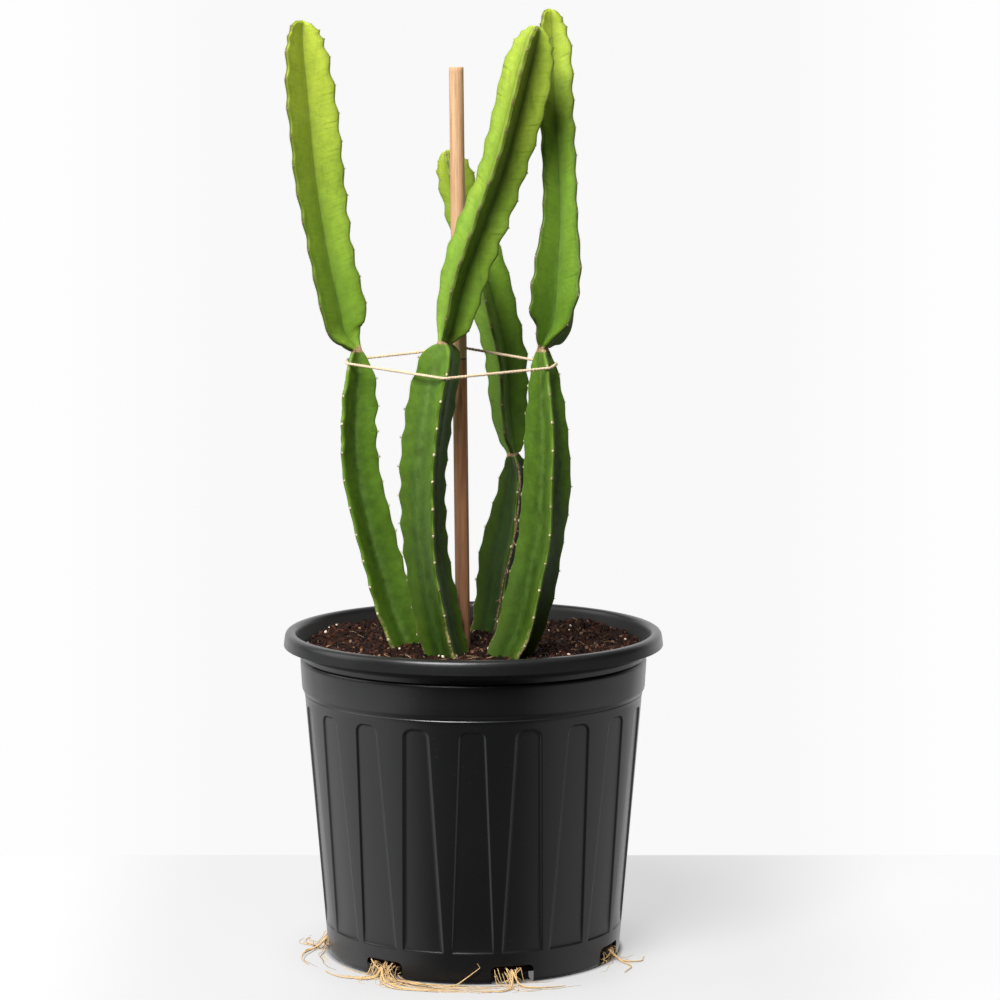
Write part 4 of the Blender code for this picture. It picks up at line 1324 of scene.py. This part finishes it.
def makeStems():
    wool, horn = makeAreoleMaterials()
    cushions = shapeStock("cushions", [cushionShape(f"cushion_{i}", i) for i in range(shapeKinds)])
    spines = shapeStock("spines", [spineShape(f"spine_{i}", i) for i in range(shapeKinds)])
    ribbed = skinTree()
    tufts = areoleTree(cushions, wool)
    for number, (name, stem) in enumerate(stems.items()):
        parts = stemRings(stem, number)
        rings = {field: np.concatenate([part[field] for part in parts]) for field in parts[0]}
        # The joints share the ring at the neck.
        fresh = np.arange(len(rings["reach"])) != len(parts[0]["reach"])
        rings = {field: values[fresh] for field, values in rings.items()}
        body = grow(f"skin_{name}", lineMesh(name, [rings["centre"]], **rings), ribbed)
        finishSkin(body.data)
        keep(body, "stem_skin", f"stem_{name}")
        places = areolePlaces(parts)
        spots = meshFrom(f"spots_{name}", places.pop("place"), [], [])
        setFields(spots, **places)
        jobs = (
            ("areoles", areole["wool"], 0, {"Stock": cushions, "Material": wool}),
            ("spines", areole["spine"], 9, {"Stock": spines, "Material": horn}),
        )
        for label, size, seed, given in jobs:
            tuft = grow(f"{label}_{name}", spots.copy(), tufts, Size=size, Seed=seed + number, **given)
            keep(tuft, "stem_skin")


makeStems()


# Stake: a turned wooden rod with a sawn top

stake = {
    "radius": 0.0053,
    "foot": (-0.0054, -0.0264, 0.042),
    "top": (-0.0120, -0.0120, 0.652),
    "edge": 0.0005,
    "sides": 48,
    "rings": 200,
    "worn": 0.00006,  # how far its side strays in and out
    "sawn": (0.0022, 0.00006),  # the top dips here: radius and depth
    "darkLower": 0.442,  # darker under this height
}


def makeWood():
    material, graph, place = newMaterial("stake_wood")
    grain = graph.streaks(place, 420.0, 9.0, 5.0, 0.6, 0.4)
    pores = ease(graph.streaks(place, 1900.0, 45.0), 0.58, 0.75)
    broad = graph.streaks(place, 90.0, 5.0)
    height = graph.parts(place)[2]
    share = ease(grain, 0.35, 0.68)
    # Darker under a set height, with a thin dark ring where it changes, and darker still further down
    paleUpper = graph.blend(share, (0.49, 0.27, 0.135), (0.69, 0.435, 0.245))
    darkLower = graph.blend(share, (0.24, 0.095, 0.038), (0.48, 0.235, 0.105))
    lowerPart = ease(height, stake["darkLower"] + 0.0004, stake["darkLower"] - 0.0004)
    ring = 1 - ease(maths("ABSOLUTE", height - stake["darkLower"]), 0.0003, 0.0008)
    colour = graph.layers(
        paleUpper,
        (lowerPart, darkLower),
        (ease(height, 0.40, 0.24) * lowerPart * 0.5, (0.115, 0.045, 0.020)),
        (pores * 0.45, (0.15, 0.065, 0.032)),
        (broad * 0.25, (0.30, 0.15, 0.085)),
        (ring * 0.85, (0.035, 0.020, 0.014)),
    )
    finishMaterial(graph, colour, 0.55 + grain * 0.15, (grain * 0.6 - pores * 0.6, 0.00025, 0.7))
    return material


def makeStake():
    foot, top = Vector(stake["foot"]), Vector(stake["top"])
    axis = (top - foot).normalized()
    out = axis.orthogonal().normalized()
    side = axis.cross(out)
    length = (top - foot).length
    radius, edge, count = stake["radius"], stake["edge"], stake["sides"]
    rows = [(0.0, 0.0), (radius - edge, 0.0), (radius, edge)]
    rows += [(radius, height) for height in np.linspace(0.003, length - 0.003, stake["rings"])]
    rows += [(radius, length - edge), (radius - edge * 0.5, length - 0.0001)]
    rows += [(radius - edge, length), (stake["sawn"][0], length - stake["sawn"][1]), (0.0, length)]
    points = []
    for radius, height in rows:
        for i in range(count):
            turn = 2 * math.pi * i / count
            ring = out * math.cos(turn) + side * math.sin(turn)
            worn = stake["worn"] * noise.noise(Vector((ring.x * 3, ring.y * 3, height * 14)))
            points.append(foot + axis * height + ring * max(0, radius + (worn if radius else 0)))
    faces = []
    for start in range(0, len(points) - count, count):
        for i in range(start, start + count):
            j = start + (i - start + 1) % count
            faces.append((i, j, count + j, count + i))
    mesh = meshFrom("stake_rod", points, [], faces)
    shape = bmesh.new()
    shape.from_mesh(mesh)
    bmesh.ops.remove_doubles(shape, verts=shape.verts, dist=1e-6)
    shape.to_mesh(mesh)
    shape.free()
    finishSkin(mesh)
    mesh.set_sharp_from_angle(angle=math.radians(40))
    mesh.materials.append(makeWood())
    keep(addObject("stake_rod", mesh), "stake_wood", "stake")


makeStake()


# Twine: two plies twisted round each other, in a loop drawn taut round three stems and behind the stake

twine = {
    # What it is drawn round, and the level at which it passes there: height less a tenth of y
    "supports": {"skin_left": 0.4380, "skin_front": 0.4389, "skin_right": 0.4427, "stake_rod": 0.4507},
    "slope": 0.1,
    "radius": 0.0010,
    "step": 0.0006,
    "plies": 2,
    "lay": 0.0046,
    "plyRadius": 0.00062,
    "plyOffset": 0.00048,
    "hairs": 420000,  # for each square metre of its skin
    "hairSize": (0.16, 0.34),  # times the length of a fibre
    "easing": 6,  # how often the bends are eased where it meets a rib
}

hairKinds = 4


def plyTree(material):
    graph, rail, plies, turns, radius, offset, material = newTree(
        "plied_twine", Plies=2, Turns=1.0, PlyRadius=0.001, PlyOffset=0.001, Material=material
    )
    strands = graph.repeat(graph.curve(rail), plies)
    along = graph.add("GeometryNodeSplineParameter")
    turn = (along * turns + strands.out("Duplicate Index") / plies) * (2 * math.pi)
    normal = graph.add("GeometryNodeInputNormal")
    aside = maths("CROSS_PRODUCT", graph.add("GeometryNodeInputTangent"), normal)
    offset = (normal * maths("COSINE", turn) + aside * maths("SINE", turn)) * offset
    strands = graph.shift(strands, "Offset", offset)
    return finishTree(graph, graph.skin(strands, graph.circle(8, radius)), material)


def hairTree(stock, material):
    graph, loop, stock, density, small, large, seed, material = newTree(
        "twine_hairs", Stock=stock, Density=1.0, Small=0.2, Large=0.5, Seed=0, Material=material
    )
    spots = graph.strew(loop, density, seed)
    stray = graph.xyz(*[graph.random(-1.0, 1.0, seed + i) for i in (1, 2, 3)])
    aim = {"Vector": stray * 1.5 + spots.out("Normal")}
    turned = graph.add("FunctionNodeAlignRotationToVector", {"axis": "X"}, aim)
    size = graph.random(small, large, seed + 5)
    return finishTree(graph, graph.copies(spots, stock, hairKinds, seed + 4, turned, size), material)


def makeJute():
    material, graph, place = newMaterial("jute")
    strand = graph.noise(place, 1500.0, 4.0, 0.7)
    colour = graph.layers(
        (0.44, 0.30, 0.17),
        (ease(strand, 0.3, 0.7), (0.90, 0.72, 0.50)),
        (graph.noise(place, 60.0, 2.0) * 0.25, (0.62, 0.45, 0.28)),
    )
    finishMaterial(graph, colour, 0.85, (strand, 0.0003, 1.0), Sheen_Weight=0.3)
    return material


# Where the mesh of an object crosses the sloping plane at a level
def crossing(name, level):
    mesh = bpy.data.objects[name].data
    places = readRows(mesh.vertices, "co", 3, np.float32).astype(float)
    a, b = readRows(mesh.edges, "vertices", 2, np.int32).T
    over = places[:, 2] - twine["slope"] * places[:, 1] - level
    cut = over[a] * over[b] < 0
    a, b = a[cut], b[cut]
    share = over[a] / (over[a] - over[b])
    return places[a] + (places[b] - places[a]) * share[:, None]


# The taut loop: the hull of what it is drawn round, with an arc of the twine's radius at each corner
def loopRoute():
    points = np.concatenate([crossing(name, level) for name, level in twine["supports"].items()])
    points = np.unique(points.round(6), axis=0)
    hull = [points[i] for i in geometry.convex_hull_2d([tuple(point[:2]) for point in points])]
    route = []
    for before, corner, after in zip(hull[-1:] + hull[:-1], hull, hull[1:] + hull[:1]):
        turns = []
        for start, end in ((before, corner), (corner, after)):
            turns.append(math.atan2(start[0] - end[0], end[1] - start[1]))
        bend = (turns[1] - turns[0] + math.pi) % (2 * math.pi) - math.pi
        for share in (0, 0.5, 1):
            turn = turns[0] + bend * share
            route.append(corner + np.array([math.cos(turn), math.sin(turn), 0]) * twine["radius"])
    return np.array(route + route[:1])


def makeTwine():
    jute = makeJute()
    route = loopRoute()
    along = lengthAlong(route)
    count = round(along[-1] / twine["step"])
    points = resample(route, along, np.linspace(0, along[-1], count + 1)[:-1])
    for _ in range(twine["easing"]):
        points = (np.roll(points, 1, axis=0) + 2 * points + np.roll(points, -1, axis=0)) / 4
    turns = float(round(along[-1] / twine["lay"]))
    sizes = {"Plies": twine["plies"], "PlyRadius": twine["plyRadius"], "PlyOffset": twine["plyOffset"]}
    loop = grow("twine_loop", lineMesh("twine", [points], closed=True), plyTree(jute), Turns=turns, **sizes)
    finishSkin(loop.data)
    keep(loop, "jute", "twine")
    hairs = shapeStock("hairs", [fibreShape(f"hair_{i}", 40 + i) for i in range(hairKinds)])
    small, large = twine["hairSize"]
    sizes = {"Density": float(twine["hairs"]), "Small": small, "Large": large, "Seed": 4}
    keep(grow("twine_fuzz", loop.data.copy(), hairTree(hairs, jute), **sizes), "jute")


makeTwine()


# Roots: one from the back stem's neck down into the mix, and sprays out of the drain holes onto the floor

roots = {
    "aerialRadius": 0.0012,
    # The aerial root's route in mm, from the neck down into the mix
    "aerial": [
        (32.4, 34.2, 359.5), (34.1, 27.5, 352.5), (34.3, 24.8, 340), (33, 23, 325), (30, 20.5, 303.5),
        (26.2, 19.5, 286.6), (22, 19.5, 272.3), (19.7, 19.5, 257.3), (17.2, 20, 244), (14.4, 20.5, 227.5),
        (14, 20.5, 215),
    ],
    "rootlets": 9,  # off the aerial root
    "mainRadius": 0.0007,
    "points": 9,
    "thinPoints": 14,
    "holeHeight": 0.007,  # where the roots leave the wall
    "holeDepth": 0.005,  # and how far inside it they start
    "holeTurns": (0.4, 7, 7),  # how far to each side main roots, thin ones and loops start, in degrees
    "wander": 0.0012,
    "thinWander": (0.0004, 0.0016),
    "reach": (0.117, 0.134),  # how far from the pot's axis the main ones end
    "thinRadius": (0.00016, 0.00034),
    "aerialWiggle": 0.0012,
    "wiggle": 0.0016,
    "wiggleScale": 90.0,
    # Of each spray: its hole and its main roots' sweeps round it, then its thin roots, with their sweeps and
    # how far out they end, and the loops that hang in the hole
    "sprays": {
        "roots_front_left": (0, (-20, -7, 12, 22, 31), 40, (-22, 58), (0.112, 0.132), 5),
        "roots_front": (1, (-12, -4, 15), 12, (-14, 24), (0.112, 0.136), 6),
        "roots_right": (2, (-12, 9), 6, (-14, 12), (0.112, 0.124), 5),
        "roots_left": (6, (-13, 10, 22), 14, (-26, 26), (0.113, 0.132), 5),
    },
    # The route in mm of one more root of the first spray, which has climbed the wall in front
    "stray": [
        (-20, -117, 1), (-12, -114, 1.2), (-6, -111.6, 4.5), (0, -111.2, 9), (5, -111, 12.8),
        (4.6, -111.2, 14.2), (3.4, -111.4, 16.2),
    ],
}


def tubeTree():
    graph, rail, wiggle, scale, material = newTree(
        "root_tubes", Wiggle=0.001, WiggleScale=100.0, Material=rootSkin
    )
    rail = graph.curve(rail)
    thick = graph.field("thick")
    place = graph.add("GeometryNodeInputPosition")
    stray = graph.noise(place + graph.vector("shift"), scale, 2.0).out("Color") - (0.5, 0.5, 0.5)
    x, y, z = graph.parts(place + stray * (wiggle * graph.field("loose")))
    rail = graph.shift(rail, "Position", graph.xyz(x, y, maths("MAXIMUM", z, thick)))
    tube = graph.skin(rail, graph.circle(7, 1.0), **{"Scale": thick, "Fill Caps": True})
    return finishTree(graph, tube, material)


def makeRootSkin():
    material, graph, place = newMaterial("root_skin")
    long = graph.noise(place, 900.0, 3.0, 0.6)
    cracks = graph.noise(place, 420.0, 3.0, 0.7)
    old = graph.mark("old")
    dead = ease(old, 0.5, 0.9)  # old bark is dark and cracked, with pale bits
    colour = graph.layers(
        graph.blend(graph.noise(place, 90.0, 2.0), (0.52, 0.31, 0.115), (0.76, 0.55, 0.27)),
        (old, graph.blend(long, (0.13, 0.066, 0.030), (0.36, 0.22, 0.11))),
        (ease(cracks, 0.42, 0.58) * dead, (0.035, 0.018, 0.009)),
        (ease(cracks, 0.30, 0.24) * dead, (0.62, 0.52, 0.34)),
        (ease(long, 0.55, 0.75) * 0.3, (0.17, 0.09, 0.04)),
    )
    finishMaterial(graph, colour, 0.62, (long, 0.0002, 0.6))
    return material


rootSkin = makeRootSkin()


# Lines through the given routes as one mesh; each line is thick at its start, and thins out towards its end
def rootLines(name, lines):
    fields = {"thick": [], "loose": [], "shift": [], "old": []}
    for number, (route, thick, thin, loose, old) in enumerate(lines):
        share = np.linspace(0, 1, len(route))
        fields["thick"].append(thick + (thin - thick) * share**2)
        fields["loose"].append(loose * np.minimum(1, share * 5))
        fields["shift"].append(np.full((len(route), 3), number * 0.37))
        fields["old"].append(np.full(len(route), old))
    joined = {field: np.concatenate(values) for field, values in fields.items()}
    return lineMesh(name, [line[0] for line in lines], **joined)


def addRoots(name, lines, tree, wiggle, *nodes):
    made = grow(name, rootLines(name, lines), tree, Wiggle=wiggle, WiggleScale=roots["wiggleScale"])
    finishSkin(made.data)
    keep(made, "root_skin", *nodes)


def aerialLines():
    rng = random.Random(5)
    route = smoothRoute(metres(roots["aerial"]), 0.0012)
    lumps = [0.62 + 0.42 * noise.noise(Vector((i * 0.31, 2.7, 0))) for i in range(len(route))]
    lines = [(route, roots["aerialRadius"] * np.array(lumps), roots["aerialRadius"] * 0.5, 0.5, 1.0)]
    for _ in range(roots["rootlets"]):
        start = route[rng.randrange(20, len(route) - 25)]
        turn = rng.uniform(-1.9, 1.9)
        aside = np.array(Vector((math.sin(turn), -abs(math.cos(turn)), -0.6)) * rng.uniform(0.002, 0.006))
        rows = [start, start + aside * 0.6 + (0, 0, -0.0004), start + aside]
        lines.append((smoothRoute(rows, 0.0008), 0.00032, 0.00008, 0.3, 0.7))
    return lines


# How far from the pot's axis a root lies at a share of its way over the floor
def rootRadius(start, reach, share, wander):
    out = math.sin(math.pi / 2 * min(1, 1.5 * share))
    return start + (reach - start) * out + wander * min(1, 3 * share)


# A root out of a drain hole and over the floor
def floorRoot(angle, sweep, reach, rng):
    start = wallRadius(roots["holeHeight"]) + 0.0005
    phase = rng.uniform(0, 2 * math.pi)
    route = [around(angle, start - roots["holeDepth"], 0.0100)]
    for i in range(roots["points"]):
        t = i / (roots["points"] - 1)
        radius = rootRadius(start, reach, t, roots["wander"] * math.sin(phase + 7 * t))
        height = roots["mainRadius"] * 1.2 + 0.0075 * max(0, 1 - 5 * t) ** 1.5
        route.append(around(angle + sweep * t**1.3, radius, height))
    return smoothRoute(route, 0.0015)


# A thinner root of the same kind, with more wiggles
def thinRoot(angle, sweep, reach, rng):
    start = wallRadius(roots["holeHeight"]) + rng.uniform(0.0005, 0.0022)
    phase, beat = rng.uniform(0, 2 * math.pi), rng.uniform(5, 11)
    high = rng.uniform(0.003, 0.0095)
    lie = rng.uniform(0.0003, 0.0018)
    route = [around(angle, start - roots["holeDepth"], high + 0.001)]
    for i in range(roots["thinPoints"]):
        t = i / (roots["thinPoints"] - 1)
        wander = rng.uniform(*roots["thinWander"]) * math.sin(phase + beat * t)
        radius = rootRadius(start, reach, t, wander)
        height = lie * (1 - t) + high * max(0, 1 - 6 * t) ** 1.5
        route.append(around(angle + sweep * t**1.2, radius, height))
    return smoothRoute(route, 0.0020)


# A root that hangs in a drain hole, out of the mix and back in or down to the floor
def loopRoot(angle, side, rng):
    wall = wallRadius(roots["holeHeight"])
    first, second = angle + rng.uniform(-side, side), angle + rng.uniform(-side, side)
    second = first + (second - first) * 0.8
    high = rng.uniform(0.0085, 0.0115)
    low = rng.choice((0.0006, 0.0006, 0.0035))
    out = rng.uniform(0.0002, 0.0026)
    rows = [
        around(first, wall - 0.006, high),
        around(first, wall - 0.001, high + 0.0004),
        around((first + second) / 2, wall + out, (high + low) * 0.55),
        around(second, wall + out * 0.8, low + 0.0010),
        around(second + rng.uniform(-2, 2), wall - 0.003, low),
    ]
    return smoothRoute(rows, 0.0010)


def makeRoots():
    tree = tubeTree()
    addRoots("aerial_root_skin", aerialLines(), tree, roots["aerialWiggle"], "aerial_root")
    mainTurn, thinTurn, loopTurn = roots["holeTurns"]
    for seed, (name, (hole, sweeps, thinCount, spread, reach, loops)) in enumerate(roots["sprays"].items()):
        angle = pot["firstDrainHole"] + hole * 360 / pot["drainHoles"]
        rng = random.Random(seed)
        lines = []
        for sweep in sweeps:
            start = angle + rng.uniform(-mainTurn, mainTurn)
            route = floorRoot(start, sweep, rng.uniform(*roots["reach"]), rng)
            lines.append((route, roots["mainRadius"], roots["mainRadius"] * 0.45, 0.4, 0.15))
        for _ in range(thinCount):
            sweep = between(spread, rng.random())
            ends = between(reach, rng.random() ** 1.4)
            route = thinRoot(angle + rng.uniform(-thinTurn, thinTurn), sweep, ends, rng)
            lines.append((route, rng.uniform(*roots["thinRadius"]), 0.00010, 1.0, rng.random() ** 3))
        for _ in range(loops):
            route = loopRoot(angle, loopTurn, rng)
            lines.append((route, rng.uniform(0.0003, 0.0005), 0.0003, 0.5, rng.uniform(0, 0.4)))
        if hole == 0:
            lines.append((smoothRoute(metres(roots["stray"]), 0.0012), 0.0005, 0.0002, 0.2, 0.1))
        addRoots(name + "_skin", lines, tree, roots["wiggle"], name)


makeRoots()
